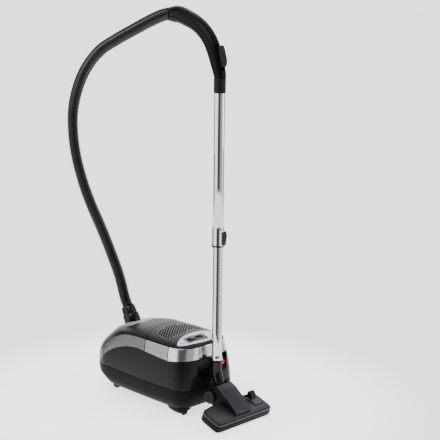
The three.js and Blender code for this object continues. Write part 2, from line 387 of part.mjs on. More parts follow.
// ---------- floor nozzle, built flat in (u, v) and tilted about the pivot ----------
// local coordinates: x = u forwards from the pivot, z = v above it
function nozPlace(m) { const g = toGeo(m); g.rotateY(TILT); g.translate(PIV[0], 0, PIV[1]); return S(g); }
const NH = NOZ_HALF;
const nozPlan = (d) => [[46 + d, -NH + 16 + d], [54 + d, -NH + 5 + d], [66 + d, -NH + d], [122 - d, -NH + d], [131 - d, -NH + 5 + d], [134 - d, -NH + 16 + d],
  [134 - d, NH - 16 - d], [131 - d, NH - 5 - d], [122 - d, NH - d], [66 + d, NH - d], [54 + d, NH - 5 - d], [46 + d, NH - 16 - d], [38 + d, 60], [38 + d, -60]];
let nbase = prismXY(nozPlan(0), -24, -4).subtract(prismXY([[74, -112], [108, -112], [108, 112], [74, 112]], -30, -14))
  .subtract(box(60, 68, -108, 108, -30, -17)).subtract(box(114, 122, -108, 108, -30, -17));
add('nozzle_base', nozPlace(nbase), 0x1d1e21, 0.45);
let ntop = prismXY(nozPlan(0.6), -3.6, 4).add(prismXY(nozPlan(5), 3.9, 7.6));
const pedalHole = box(46, 106, 70, 107, -1, 20);
const padGroove = prismXY([[50, -118], [116, -120], [122, -112], [122, -38], [50, -38]], 6.4, 20).subtract(prismXY([[51.6, -116.4], [115.4, -118.2], [120.4, -111.4], [120.4, -39.6], [51.6, -39.6]], 6, 21));
ntop = ntop.subtract(pedalHole).subtract(padGroove);
add('nozzle_top', nozPlace(ntop), BLUEGREY, 0.42);
// yoke: two side walls carrying the pivot drum and the rollers, open above for the neck
const yk = [[-16, -16], [12, -22], [37, -22], [37, 8.2], [113, 8.2], [113, 13], [96, 20.5], [70, 31], [48, 38], [30, 43.5], [10, 46], [-8, 40], [-22, 26], [-26, 8]];
const ykU = prismXZ([[-16, -16], [12, -22], [37, -22], [37, 8.2], [60, 8.2], [60, 30], [48, 34], [30, 39], [10, 41], [-8, 36], [-22, 24], [-26, 8]], -34, 34);
let yoke = prismXZ(yk, -34, -28.6).add(prismXZ(yk, 28.6, 34)).add(box(64, 112, -28.7, 28.7, 8.2, 12))
  .add(rod(3.6, -44, -28.7, 14, 'y', [0, 0, 0])).add(rod(3.6, 28.7, 44, 14, 'y', [0, 0, 0]));
add('nozzle_yoke', nozPlace(yoke), 0x1d1e21, 0.45);
// saddle: curved cover bridging the side walls
const sadTop = [[10, 50], [30, 47.4], [48, 42], [70, 35], [96, 24.4], [113, 17.4], [118.6, 13], [118.6, 8.4], [115, 8.4], [113.6, 13.4], [96.4, 21], [70.4, 31.5], [48.4, 38.5], [30, 44], [10, 46.4]];
add('nozzle_saddle', nozPlace(prismXZ(sadTop, -34.6, 34.6)), BLUEGREY, 0.4);
add('roller_left', nozPlace(lathe([[4, -44], [19, -44], [22, -42], [22, -37], [19, -35], [4, -35], [4, -44]], 20, 'y', [0, 0, 0])), 0x161617, 0.55);
add('roller_right', nozPlace(lathe([[4, 35], [19, 35], [22, 37], [22, 42], [19, 44], [4, 44], [4, 35]], 20, 'y', [0, 0, 0])), 0x161617, 0.55);
// foot pedal: a rocker with an upright leaf behind and a pad in front, pivoting about u = 80
add('foot_pedal', nozPlace(prismXZ([[60, 8.8], [80, 8.8], [80, 12], [76, 19], [70, 26], [62, 30], [56, 29], [54, 22], [56, 14]], 77, 101)), 0x131314, 0.5);
add('pedal_pad', nozPlace(prismXZ([[80.4, 5], [103, 5], [103, 8.6], [100, 10.8], [80.4, 12]], 73, 104)), GREY, 0.45);
add('bristle_front', nozPlace(box(114.6, 121.4, -107, 107, -23.2, -17.4)), 0x2c2c2e, 0.95);
add('bristle_rear', nozPlace(box(60.6, 67.4, -107, 107, -23.2, -17.4)), 0x2c2c2e, 0.95);

export default group;
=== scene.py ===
import bpy, bmesh, math
import numpy as np
from mathutils import Vector, Matrix, noise


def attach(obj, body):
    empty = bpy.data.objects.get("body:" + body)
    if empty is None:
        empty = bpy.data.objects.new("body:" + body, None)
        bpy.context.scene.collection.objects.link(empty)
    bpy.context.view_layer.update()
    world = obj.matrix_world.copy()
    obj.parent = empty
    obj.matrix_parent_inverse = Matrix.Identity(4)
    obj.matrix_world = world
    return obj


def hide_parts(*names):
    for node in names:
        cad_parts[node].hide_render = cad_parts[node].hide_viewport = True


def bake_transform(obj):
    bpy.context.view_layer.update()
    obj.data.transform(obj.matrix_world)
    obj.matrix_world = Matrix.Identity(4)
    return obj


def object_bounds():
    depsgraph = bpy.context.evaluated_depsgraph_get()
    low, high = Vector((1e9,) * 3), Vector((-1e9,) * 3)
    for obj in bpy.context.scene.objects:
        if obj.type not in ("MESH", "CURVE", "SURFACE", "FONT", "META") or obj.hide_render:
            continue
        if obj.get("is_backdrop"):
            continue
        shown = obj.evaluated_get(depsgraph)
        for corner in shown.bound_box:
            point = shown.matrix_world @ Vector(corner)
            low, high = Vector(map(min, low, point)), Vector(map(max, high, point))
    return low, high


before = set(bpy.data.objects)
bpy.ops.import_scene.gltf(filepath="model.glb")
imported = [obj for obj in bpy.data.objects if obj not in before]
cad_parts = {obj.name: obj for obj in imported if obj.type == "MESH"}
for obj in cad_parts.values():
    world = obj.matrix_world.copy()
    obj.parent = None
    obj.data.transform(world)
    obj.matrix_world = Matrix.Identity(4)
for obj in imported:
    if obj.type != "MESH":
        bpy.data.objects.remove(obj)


def plain(b):
    try:
        return [[float(x) for x in p] for p in b]
    except TypeError:
        return [float(x) for x in b]


BOUNDS_AT_LOAD = plain(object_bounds())
SX = -93.36                    # design x (mm) to row x

# ---------------------------------------------------------------- camera
cam_data = bpy.data.cameras.new("camera")
cam_data.lens = 103.3
cam_data.sensor_width = 36.0
cam_data.shift_x = 0.159
cam_data.shift_y = 0.0
cam_data.clip_end = 100
cam_data.dof.use_dof = False
cam = bpy.data.objects.new("camera", cam_data)
bpy.context.scene.collection.objects.link(cam)
cam.location = (2.8670, -2.8452, 1.4996)
cam.rotation_euler = (math.radians(90 - 12.28), 0, math.radians(46.5))
bpy.context.scene.camera = cam

# ---------------------------------------------------------------- constants (design millimetres)
SKIN, SEAM_Z, GAP = 3.0, 93.0, 0.35
WAND_X = 276.0
PIV = (283.0, 68.8)
TILT = math.radians(20)
PORT = (-123.0, 226.0)
LEAN = math.radians(28)
TAPER = 0.11
LEVELS = [
    [23.5, -160, 222, 100, 60, 38], [28, -170, 231, 110, 66, 42], [37, -181, 239, 119, 74, 45],
    [49, -198, 243.5, 125.5, 82, 48], [64, -217, 246, 128.7, 88, 50], [93, -223, 246, 129.2, 90, 50],
    [118, -222, 245.6, 128, 90, 52], [144, -215, 245, 126, 90, 56], [165, -201, 244.2, 124, 90, 60],
    [183, -182, 243.4, 122, 90, 64], [205, -157, 242, 119, 88, 68], [218, -138, 240.6, 116.5, 85, 70],
    [229, -117, 238.5, 113.5, 82, 70], [236, -92, 230, 104, 76, 66], [242, -64, 218, 90, 66, 58],
    [247, -32, 200, 70, 52, 48], [250.5, 6, 176, 44, 34, 34], [251.7, 40, 150, 20, 18, 18]]
ZB = [[-182, 93], [-160, 112], [-138, 136], [-95, 163], [-37, 184], [17, 192.5], [57, 191.5], [138, 186], [172, 185], [205, 188], [250, 191]]
ZT = [[-240, 98], [-205, 108], [-186, 124], [-163, 147], [-119, 189], [-90, 206], [-40, 222.3], [9, 227.5], [58, 228.1], [250, 228.1]]
REC = dict(x0=206, y0=-43, y1=80, z0=128, z1=187)

COLL = bpy.context.scene.collection


# ---------------------------------------------------------------- mesh helpers (millimetres)
def catmull(P, sub):
    P = np.array(P, float)
    out = []
    n = len(P)
    for i in range(n - 1):
        p0, p1, p2, p3 = P[max(i - 1, 0)], P[i], P[i + 1], P[min(i + 2, n - 1)]
        for k in range(sub):
            t = k / sub
            out.append(0.5 * (2 * p1 + (p2 - p0) * t + (2 * p0 - 5 * p1 + 4 * p2 - p3) * t * t + (-p0 + 3 * p1 - 3 * p2 + p3) * t ** 3))
    out.append(P[-1])
    return np.array(out)


def centripetal(P, sub):
    P = [np.array(p, float) for p in P]
    n = len(P)
    out = []
    for i in range(n - 1):
        p1, p2 = P[i], P[i + 1]
        p0 = P[i - 1] if i > 0 else 2 * p1 - p2
        p3 = P[i + 2] if i + 2 < n else 2 * p2 - p1
        d0, d1, d2 = [max(np.linalg.norm(b - a), 1e-6) ** 0.5 for a, b in ((p0, p1), (p1, p2), (p2, p3))]
        t1 = (p1 - p0) / d0 - (p2 - p0) / (d0 + d1) + (p2 - p1) / d1
        t2 = (p2 - p1) / d1 - (p3 - p1) / (d1 + d2) + (p3 - p2) / d2
        t1, t2 = t1 * d1, t2 * d1
        for k in range(sub):
            t = k / sub
            out.append(p1 + t1 * t + (-3 * p1 + 3 * p2 - 2 * t1 - t2) * t * t + (2 * p1 - 2 * p2 + t1 + t2) * t ** 3)
    out.append(P[-1])
    return np.array(out)


def resample(line, step):
    d = np.r_[0, np.cumsum(np.linalg.norm(np.diff(line, axis=0), axis=1))]
    n = max(2, int(round(d[-1] / step)) + 1)
    s = np.linspace(0, d[-1], n)
    return np.stack([np.interp(s, d, line[:, k]) for k in range(line.shape[1])], 1), s


def new(name, verts, faces):
    me = bpy.data.meshes.new(name)
    me.from_pydata([tuple(map(float, v)) for v in verts], [], [tuple(int(i) for i in f) for f in faces])
    me.validate()
    o = bpy.data.objects.new(name, me)
    COLL.objects.link(o)
    bm = bmesh.new(); bm.from_mesh(me)
    bmesh.ops.remove_doubles(bm, verts=bm.verts, dist=1e-4)
    bmesh.ops.recalc_face_normals(bm, faces=bm.faces)
    bm.to_mesh(me); bm.free()
    return o


def box(x0, x1, y0, y1, z0, z1, name="b"):
    v = [(x, y, z) for x in (x0, x1) for y in (y0, y1) for z in (z0, z1)]
    return new(name, v, [(0, 1, 3, 2), (4, 6, 7, 5), (0, 4, 5, 1), (2, 3, 7, 6), (0, 2, 6, 4), (1, 5, 7, 3)])


def prism(pts, a0, a1, plane="XY", name="p"):
    n = len(pts)
    def at(p, a):
        if plane == "XY":
            return (p[0], p[1], a)
        return (p[0], a, p[1])
    v = [at(p, a0) for p in pts] + [at(p, a1) for p in pts]
    f = [tuple(range(n)), tuple(range(2 * n - 1, n - 1, -1))] + [(i, (i + 1) % n, n + (i + 1) % n, n + i) for i in range(n)]
    return new(name, v, f)


def lathe(profile, seg=64, axis="z", c=(0, 0, 0), name="l"):
    ax = {"x": (np.array([0, 1, 0.]), np.array([0, 0, 1.]), np.array([1, 0, 0.])),
          "y": (np.array([0, 0, 1.]), np.array([1, 0, 0.]), np.array([0, 1, 0.])),
          "z": (np.array([1, 0, 0.]), np.array([0, 1, 0.]), np.array([0, 0, 1.]))}[axis]
    closed = tuple(profile[0]) == tuple(profile[-1])
    prof = profile[:-1] if closed else profile
    m = len(prof)
    v, f = [], []
    for k in range(seg):
        a = 2 * math.pi * k / seg
        for r, t in prof:
            v.append(np.array(c) + t * ax[2] + r * (math.cos(a) * ax[0] + math.sin(a) * ax[1]))
    for k in range(seg):
        k2 = (k + 1) % seg
        for i in range(m if closed else m - 1):
            j = (i + 1) % m
            f.append((k * m + i, k * m + j, k2 * m + j, k2 * m + i))
    return new(name, v, f)


def rod(r, t0, t1, seg, axis, c):
    return lathe([[0, t0], [r, t0], [r, t1], [0, t1]], seg, axis, c)


def ring(r0, r1, t0, t1, seg, axis, c, name="r"):
    return lathe([[r0, t0], [r1, t0], [r1, t1], [r0, t1], [r0, t0]], seg, axis, c, name)


def tube(line, radius, seg=32, name="t", ends=True, twist=None):
    """line in the y = 0 plane; radius is a number or a function of (index, angle)."""
    P = np.array(line, float)
    n = len(P)
    T = np.gradient(P, axis=0)
    T /= np.linalg.norm(T, axis=1)[:, None]
    U = np.cross(T, np.array([0, 1.0, 0]))
    U /= np.linalg.norm(U, axis=1)[:, None]
    V = np.tile(np.array([0, 1.0, 0]), (n, 1))
    a = np.arange(seg) * 2 * math.pi / seg
    if callable(radius):
        R = radius(np.arange(n)[:, None], a[None, :])
    else:
        R = np.full((n, seg), float(radius))
    pos = P[:, None, :] + R[..., None] * (np.cos(a)[None, :, None] * U[:, None, :] + np.sin(a)[None, :, None] * V[:, None, :])
    v = pos.reshape(-1, 3)
    f = []
    for k in range(n - 1):
        for i in range(seg):
            j = (i + 1) % seg
            f.append((k * seg + i, k * seg + j, (k + 1) * seg + j, (k + 1) * seg + i))
    if ends:
        f.append(tuple(range(seg - 1, -1, -1)))
        f.append(tuple(range((n - 1) * seg, n * seg)))
    me = bpy.data.meshes.new(name)
    me.from_pydata(v.tolist(), [], f)
    o = bpy.data.objects.new(name, me)
    COLL.objects.link(o)
    bm = bmesh.new(); bm.from_mesh(me); bmesh.ops.recalc_face_normals(bm, faces=bm.faces); bm.to_mesh(me); bm.free()
    return o


def boo(a, b, op="DIFFERENCE", keep=False):
    for solver in ("MANIFOLD", "EXACT"):
        m = a.modifiers.new("b", "BOOLEAN")
        m.operation, m.object, m.solver = op, b, solver
        dg = bpy.context.evaluated_depsgraph_get()
        me = bpy.data.meshes.new_from_object(a.evaluated_get(dg))
        a.modifiers.remove(m)
        if len(me.polygons):
            break
    a.data = me
    if not keep:
        bpy.data.objects.remove(b, do_unlink=True)
    return a


def cut(a, b, keep=False): return boo(a, b, "DIFFERENCE", keep)
def both(a, b, keep=False): return boo(a, b, "INTERSECT", keep)
def plus(a, b, keep=False): return boo(a, b, "UNION", keep)


def copy(o, name="c"):
    c = bpy.data.objects.new(name, o.data.copy())
    COLL.objects.link(c)
    return c


def join(objs, name="j"):
    v, f, off = [], [], 0
    mats = []
    for o in objs:
        v += [tuple(x.co) for x in o.data.vertices]
        f += [tuple(i + off for i in p.vertices) for p in o.data.polygons]
        off = len(v)
    for o in objs:
        bpy.data.objects.remove(o, do_unlink=True)
    me = bpy.data.meshes.new(name); me.from_pydata(v, [], f)
    o = bpy.data.objects.new(name, me); COLL.objects.link(o)
    return o


def move(o, m):
    o.data.transform(m)
    return o


def port_place(o): return move(o, Matrix.Translation((PORT[0], 0, PORT[1])) @ Matrix.Rotation(-LEAN, 4, "Y"))
def noz_place(o): return move(o, Matrix.Translation((PIV[0], 0, PIV[1])) @ Matrix.Rotation(TILT, 4, "Y"))


def bevel(o, width, segments=2, angle=35):
    m = o.modifiers.new("v", "BEVEL")
    m.width, m.segments, m.limit_method, m.angle_limit = width, segments, "ANGLE", math.radians(angle)
    m.use_clamp_overlap = True
    dg = bpy.context.evaluated_depsgraph_get()
    me = bpy.data.meshes.new_from_object(o.evaluated_get(dg))
    o.modifiers.remove(m); o.data = me
    return o


TO_ROW = Matrix.Scale(0.001, 4) @ Matrix.Translation((SX, 0, 0))


def done(o, name, mat, body=None, nodes=(), sharp=32, ride=True):
    o.name = name; o.data.name = name
    o.data.transform(TO_ROW)
    me = o.data
    bm = bmesh.new(); bm.from_mesh(me)
    bmesh.ops.remove_doubles(bm, verts=bm.verts, dist=2e-6)
    bmesh.ops.dissolve_degenerate(bm, dist=1e-6, edges=bm.edges)
    bmesh.ops.recalc_face_normals(bm, faces=bm.faces)
    for e in bm.edges:
        e.smooth = len(e.link_faces) == 2 and e.calc_face_angle(0) < math.radians(sharp)
    for fc in bm.faces:
        fc.smooth = True
    bm.to_mesh(me); bm.free()
    me.materials.clear(); me.materials.append(MAT[mat])
    if ride and body:
        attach(o, body)
    if nodes:
        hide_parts(*nodes)
    return o


# ---------------------------------------------------------------- materials
MAT, SLOT = {}, {}


def material(name, slot, color, rough, metal=0.0, coat=0.0, coat_rough=0.1, grain=None, vary=None, spec=0.5, sheen=0.0, wave=None):
    m = bpy.data.materials.new(name)
    m.use_nodes = True
    nt = m.node_tree
    b = nt.nodes.get("Principled BSDF")
    b.inputs["Base Color"].default_value = (*color, 1)
    b.inputs["Roughness"].default_value = rough
    b.inputs["Metallic"].default_value = metal
    b.inputs["Specular IOR Level"].default_value = spec
    b.inputs["Coat Weight"].default_value = coat
    b.inputs["Coat Roughness"].default_value = coat_rough
    b.inputs["Sheen Weight"].default_value = sheen
    co = nt.nodes.new("ShaderNodeTexCoord")
    if vary:
        scale, lo, hi = vary
        n = nt.nodes.new("ShaderNodeTexNoise"); n.inputs["Scale"].default_value = scale; n.inputs["Detail"].default_value = 4
        r = nt.nodes.new("ShaderNodeMapRange"); r.inputs["To Min"].default_value = lo; r.inputs["To Max"].default_value = hi
        nt.links.new(co.outputs["Object"], n.inputs["Vector"])
        nt.links.new(n.outputs["Fac"], r.inputs["Value"])
        nt.links.new(r.outputs["Result"], b.inputs["Roughness"])
    if grain:
        scale, strength, dist = grain
        n = nt.nodes.new("ShaderNodeTexNoise"); n.inputs["Scale"].default_value = scale; n.inputs["Detail"].default_value = 3
        bp = nt.nodes.new("ShaderNodeBump"); bp.inputs["Strength"].default_value = strength; bp.inputs["Distance"].default_value = dist
        nt.links.new(co.outputs["Object"], n.inputs["Vector"])
        nt.links.new(n.outputs["Fac"], bp.inputs["Height"])
        nt.links.new(bp.outputs["Normal"], b.inputs["Normal"])
    MAT[name], SLOT[name] = m, slot
    return m


material("shell_satin", "satin_shell", (0.0038, 0.0039, 0.0037), 0.36, spec=0.12, grain=(1400, 0.12, 0.0002), vary=(60, 0.33, 0.39))
material("lid_satin", "satin_shell", (0.0036, 0.0037, 0.0036), 0.38, spec=0.16, grain=(1400, 0.1, 0.0002), vary=(50, 0.35, 0.42))
material("tray_matt", "matt_dark", (0.0032, 0.0033, 0.0032), 0.5, spec=0.06, grain=(1200, 0.15, 0.0002), vary=(50, 0.46, 0.56))
material("dark_matt", "matt_dark", (0.0026, 0.0026, 0.0028), 0.45, spec=0.16, grain=(1300, 0.12, 0.0002), vary=(70, 0.42, 0.5))
material("dark_gloss", "matt_dark", (0.0012, 0.0012, 0.0014), 0.24, spec=0.22, vary=(70, 0.21, 0.28))
# near-black: the real dark joints between the trims, and painted shade for the sheet under the grille slots
material("joint_black_and_painted_shade", "matt_dark", (0.001, 0.001, 0.001), 0.8, spec=0.05, vary=(70, 0.75, 0.85))
material("grille_dark", "matt_dark", (0.006, 0.006, 0.0064), 0.42, spec=0.3, vary=(80, 0.38, 0.46))
material("handle", "handle_shell", (0.0012, 0.0012, 0.0013), 0.36, spec=0.09, grain=(1500, 0.12, 0.0002), vary=(60, 0.32, 0.4))
material("strip_front", "front_strip", (0.12, 0.12, 0.118), 0.42, metal=0.7, vary=(40, 0.38, 0.46))
material("strip_mid", "mid_strip", (0.24, 0.245, 0.25), 0.36, metal=0.85, vary=(40, 0.32, 0.4))
material("strip_rear", "bright_strip", (0.58, 0.59, 0.60), 0.2, metal=1.0, vary=(40, 0.17, 0.23))
material("silver", "silver_plastic", (0.36, 0.36, 0.355), 0.36, metal=0.7, vary=(60, 0.32, 0.4))
material("silver_bright", "silver_plastic", (0.60, 0.62, 0.67), 0.28, metal=0.6, vary=(60, 0.25, 0.32))
material("window", "dark_window", (0.010, 0.012, 0.017), 0.22, spec=0.3, coat=0.1, vary=(60, 0.19, 0.25))
material("red", "red_mark", (0.6, 0.0, 0.012), 0.4, spec=0.2, vary=(60, 0.37, 0.43))
material("chrome", "chrome_tube", (0.62, 0.61, 0.60), 0.05, metal=1.0, vary=(30, 0.04, 0.07))
material("hose", "hose_plastic", (0.0006, 0.0006, 0.0007), 0.2, spec=0.42, vary=(90, 0.18, 0.24))
material("rubber", "wheel_rubber", (0.005, 0.005, 0.005), 0.55, spec=0.25, vary=(90, 0.5, 0.6))
material("nozzle_blue", "nozzle_blue", (0.0105, 0.0118, 0.015), 0.42, spec=0.25, grain=(1200, 0.12, 0.0002), vary=(60, 0.38, 0.46))
material("pedal_grey", "pedal_grey", (0.028, 0.032, 0.039), 0.42, vary=(60, 0.38, 0.46))
material("bristle", "bristle", (0.01, 0.01, 0.01), 0.8, grain=(2500, 0.6, 0.0006))
material("fan_metal", "fan_metal", (0.6, 0.6, 0.62), 0.32, metal=1.0, vary=(80, 0.28, 0.36))
material("fleece", "filter_fleece", (0.72, 0.71, 0.68), 0.9, grain=(900, 0.5, 0.0008), sheen=0.3)
material("bag_paper", "bag_paper", (0.62, 0.55, 0.42), 0.8, grain=(260, 0.5, 0.0012), sheen=0.1)

# ---------------------------------------------------------------- canister skin
N_ARC = 12


def plan(l, inset=0.0, n=N_ARC):
    z, xf, xr, w, rf, rr = l
    xf += inset; xr -= inset; w -= inset
    rf = min(max(rf - inset, 6), w - 1); rr = min(max(rr - inset, 6), w - 1)
    p = []
    def arc(cx, cy, r, a0, a1):
        for k in range(n + 1):
            a = math.radians(a0 + (a1 - a0) * k / n)
            p.append([cx + r * math.cos(a), cy + r * math.sin(a)])
    arc(xr - rr, w - rr, rr, 0, 90)
    x_a, x_b = xr - rr, xf + rf
    for k in range(1, 6):
        p.append([x_a + (x_b - x_a) * k / 6, w])
    arc(xf + rf, w - rf, rf, 90, 180)
    arc(xf + rf, -w + rf, rf, 180, 270)
    for k in range(1, 6):
        p.append([x_b + (x_a - x_b) * k / 6, -w])
    arc(xr - rr, -w + rr, rr, 270, 360)
    # the straight rear and front ends run from arc to arc without points of their own
    return [[x, y * (1 - TAPER * max(0, (80 - x) / 300))] for x, y in p]


FINE = catmull(LEVELS, 5)


def skin(inset, dz_low, dz_high, name="skin"):
    v, f = [], []
    rows = []
    for l in FINE:
        dz = dz_low * max(0, min(1, (SEAM_Z - l[0]) / 40)) if l[0] < SEAM_Z else -dz_high * max(0, min(1, (l[0] - SEAM_Z) / 40))
        rows.append((l[0] + dz, plan(list(l), inset)))
    n = len(rows[0][1])
    for z, p in rows:
        v += [(x, y, z) for x, y in p]
    for k in range(len(rows) - 1):
        for i in range(n):
            j = (i + 1) % n
            f.append((k * n + i, k * n + j, (k + 1) * n + j, (k + 1) * n + i))
    f.append(tuple(range(n - 1, -1, -1)))
    f.append(tuple(range((len(rows) - 1) * n, len(rows) * n)))
    return new(name, v, f)


def shell_between(out, inn):
    a = skin(*out); b = skin(*inn)
    return cut(a, b)


SHELL = shell_between((0, 0, 0), (SKIN, SKIN + 0.5, SKIN))
zb = catmull(ZB, 5).tolist()
zt = catmull(ZT, 5).tolist()


def lift(p, d): return [[x, z + d] for x, z in p]


below = prism([[-181.2, SEAM_Z + GAP]] + lift(zb, -GAP)[1:] + [[250, SEAM_Z + GAP]], -200, 200, "XZ")
strip_zone = prism([[-240, SEAM_Z + GAP], [-182 - GAP, SEAM_Z + GAP]] + zb[1:] + zt[::-1], -200, 200, "XZ")
above = prism(lift(zt, GAP) + [[250, 300], [-240, 300]], -200, 200, "XZ")

# lower tray
tray = both(copy(SHELL), box(-400, 400, -400, 400, 0, SEAM_Z - GAP - 1.6))
for s in (1, -1):
    cup = lathe([[0, 8.6], [16, 8.6], [21, 10], [24.6, 13.6], [26.6, 19], [27, 25], [27, 30], [0, 30]], 64, "z", [0, 0, 0])
    for v_ in cup.data.vertices:
        if v_.co.x < 0:
            v_.co.x *= 2.5
    move(cup, Matrix.Translation((203, 82.5 * s, 0)))
    cup = cut(cup, lathe([[0, 5], [19.6, 5], [19.6, 23.6], [0, 23.6]], 40, "z", [206, 83 * s, 0]))
    cup = cut(cup, box(212.5, 260, -140, 140, 0, 21.5))
    tray = plus(tray, cup)
    tray = plus(tray, lathe([[0, 23.3], [17, 23.3], [18, 27], [0, 27]], 32, "z", [-137, 66 * s, 0]))
done(tray, "v_base_tray", "tray_matt", "canister", ["base_tray"])

# upper shell with the recess
HOLE_OUT = [(-62, REC["z1"] - 0.4), (82, REC["z1"] - 0.4), (82, REC["z0"] + 0.4), (-52, REC["z0"] + 0.4)]
hole = new("hole", [(x, y, z) for x in (232, 262) for y, z in HOLE_OUT],
           [(0, 1, 2, 3), (7, 6, 5, 4), (0, 4, 5, 1), (1, 5, 6, 2), (2, 6, 7, 3), (3, 7, 4, 0)])
body = both(copy(SHELL), below)
body = cut(body, hole)
body = cut(body, box(231, 270, -16.35, 16.35, 111.65, REC["z0"] + 1))
# panel line near the rear corner
gl = catmull([[170.7, 190], [176, 180], [182, 167], [185, 150], [186, 120], [186, 90]], 5)
gw = 0.9
gpoly = [[x - gw, z] for x, z in gl] + [[x + gw, z] for x, z in gl[::-1]]
for s in (1, -1):
    g = prism(gpoly, 90 * s, 140 * s, "XZ")
    g = both(g, shell_between((-3, -3, -3), (1.1, 1.1, 1.1)))
    body = cut(body, g)
done(body, "v_body_shell", "shell_satin", "canister", ["body_shell"])

# recess lining: flared niche with back wall, floor and ceiling
inn = [(REC["y0"], REC["z1"] - 1), (REC["y1"], REC["z1"] - 1), (REC["y1"], REC["z0"] + 1.5), (REC["y0"], REC["z0"] + 1.5)]
XB, XF = 209.0, 243.6
v = [(XB, y, z) for y, z in inn] + [(XF, y, z) for y, z in [(-60, REC["z1"] - 1), (80, REC["z1"] - 1), (80, REC["z0"] + 1.5), (-50, REC["z0"] + 1.5)]]
v2 = [(XB - 2, y + (2 if y > 0 else -2), z + (1 if z > 150 else -1)) for x, y, z in v[:4]] + [(XF, y + (1.6 if y > 0 else -1.6), z + (0.8 if z > 150 else -0.8)) for x, y, z in v[4:]]
vv = v + v2
ff = [(0, 3, 2, 1), (0, 1, 5, 4), (1, 2, 6, 5), (2, 3, 7, 6), (3, 0, 4, 7),
      (8, 9, 10, 11), (8, 12, 13, 9), (9, 13, 14, 10), (10, 14, 15, 11), (11, 15, 12, 8),
      (4, 5, 13, 12), (5, 6, 14, 13), (6, 7, 15, 14), (7, 4, 12, 15)]
liner = new("liner", vv, ff)
brk = box(236, 257.6, -16, 16, 112, 124.8)
brk = plus(brk, box(236, 246, -16, 16, 123.8, 130))
brk = cut(brk, box(248.2, 254.5, -9, 9, 115, 200))
brk = bevel(brk, 0.8, 2)
# upright rib of the niche and the shutter beside the plug
rib = bevel(box(211, 214.5, -37, -34.5, 131, 185), 0.5)
rib2 = bevel(box(211, 217, 22, 46, 176, 185), 0.8)
ledge = bevel(box(212, 243, 49, 79, 129.6, 132.2), 0.7)
liner = join([liner, brk, rib, rib2, ledge])
done(liner, "v_recess", "dark_matt", "canister", ["parking_bracket"])

# trim lengths
strip = both(copy(SHELL), copy(strip_zone))


def cut_x(a, b, side=0):
    y0, y1 = (-400, 400) if side == 0 else ((0, 400) if side > 0 else (-400, 0))
    return both(copy(strip), box(a, b, y0, y1, -10, 400))


done(cut_x(-300, -153.2), "v_trim_nose", "strip_front", "canister", ["trim_nose"])
for s, tag in ((-1, "left"), (1, "right")):
    done(cut_x(-150.2, 59.0, s), "v_trim_front_" + tag, "strip_front", "canister", ["trim_front_" + tag])
    done(cut_x(62.2, 169.1, s), "v_trim_mid_" + tag, "strip_mid", "canister", ["trim_mid_" + tag])
done(cut_x(172.3, 300), "v_trim_rear", "strip_rear", "canister", ["trim_rear"])
bpy.data.objects.remove(strip, do_unlink=True)
inlay = both(shell_between((0.5, 0.5, 0.5), (2.4, 2.4, 2.4)), strip_zone)
for x0, x1, tag in ((-153.0, -150.4, "nose"), (59.2, 62.0, "mid"), (169.3, 172.1, "rear")):
    done(both(copy(inlay), box(x0, x1, -400, 400, -10, 400)), "v_trim_joint_" + tag, "joint_black_and_painted_shade", "canister")
bpy.data.objects.remove(inlay, do_unlink=True)

# top
TOP = both(copy(SHELL), copy(above))


def smooth_loop(p, sub=4):
    q = [p[-1]] + list(p) + [p[0], p[1]]
    c = catmull(q, sub)
    return c[sub:-2 * sub].tolist() if False else c[sub:len(c) - sub - 1].tolist()


def plate_outline(d): return [[-34 - d, -40 - d], [-22 - d, -58 - d], [20, -66 - d], [46 + d, -74 - d], [61 + d, -64 - d], [61 + d, 64 + d], [46 + d, 74 + d], [20, 66 + d], [-22 - d, 58 + d], [-34 - d, 40 + d]]


plate = both(copy(TOP), port_place(prism(plate_outline(0), -34, 40)))
plate = cut(plate, port_place(rod(28.0, -60, 60, 48, "z", [0, 0, 0])))
done(plate, "v_inlet_plate", "silver", "lid_body", ["inlet_plate"])
ribs_skin = shell_between((-1.4, -1.4, -1.4), (0.8, 0.8, 0.8))
rib_cut = [box(-26 + 14 * k, -26 + 14 * k + 8.4, -(52, 53, 56, 61, 65, 60)[k], (52, 53, 56, 61, 65, 60)[k], -40, 40) for k in range(6)]
rb = join([port_place(b) for b in rib_cut])
rb = both(rb, ribs_skin)
rb = cut(rb, port_place(rod(28.6, -60, 60, 48, "z", [0, 0, 0])))
done(rb, "v_inlet_ribs", "silver", "lid_body")


def seam_x(y, d): return 30 + 30 * (y / 105) ** 2 + d


def seam_pts(d): return [[seam_x(-132 + 264 * k / 40, d), -132 + 264 * k / 40] for k in range(41)]


lid = both(copy(TOP), prism([[-300, -132]] + seam_pts(-0.9) + [[-300, 132]], 90, 300))
lid = cut(lid, port_place(prism(plate_outline(0.7), -40, 60)))
done(lid, "v_lid", "lid_satin", "lid_body", ["lid"])


def grille_outline(d): return [[52 - d, 0], [58 - d, -50 - d], [74, -74 - d], [100, -88 - d], [134, -92 - d], [150 + d, -80 - d], [146 + d, 0], [150 + d, 80 + d], [134, 92 + d], [100, 88 + d], [74, 74 + d], [58 - d, 50 + d]]
def panel_outline(d): return [[164 - d, 0], [168 - d, -36 - d], [176 - d, -66 - d], [190, -96 - d], [204 + d, -92 - d], [218 + d, -70 - d], [226 + d, -36], [227 + d, 0], [226 + d, 36], [218 + d, 70 + d], [204 + d, 92 + d], [190, 96 + d], [176 - d, 66 + d], [168 - d, 36 + d]]


def loop(p, sub=3):
    q = list(p)
    n = len(q)
    ext = q[-2:] + q + q[:2]
    c = catmull(ext, sub)
    return c[2 * sub:2 * sub + n * sub].tolist()


cover = both(copy(TOP), prism([[300, 132]] + seam_pts(0.9)[::-1] + [[300, -132]], 90, 300))
cover = cut(cover, prism(loop(grille_outline(0.5)), 90, 300))
cover = cut(cover, prism(loop(panel_outline(0.7)), 90, 300))
done(cover, "v_rear_cover", "lid_satin", "canister", ["rear_top_cover"])

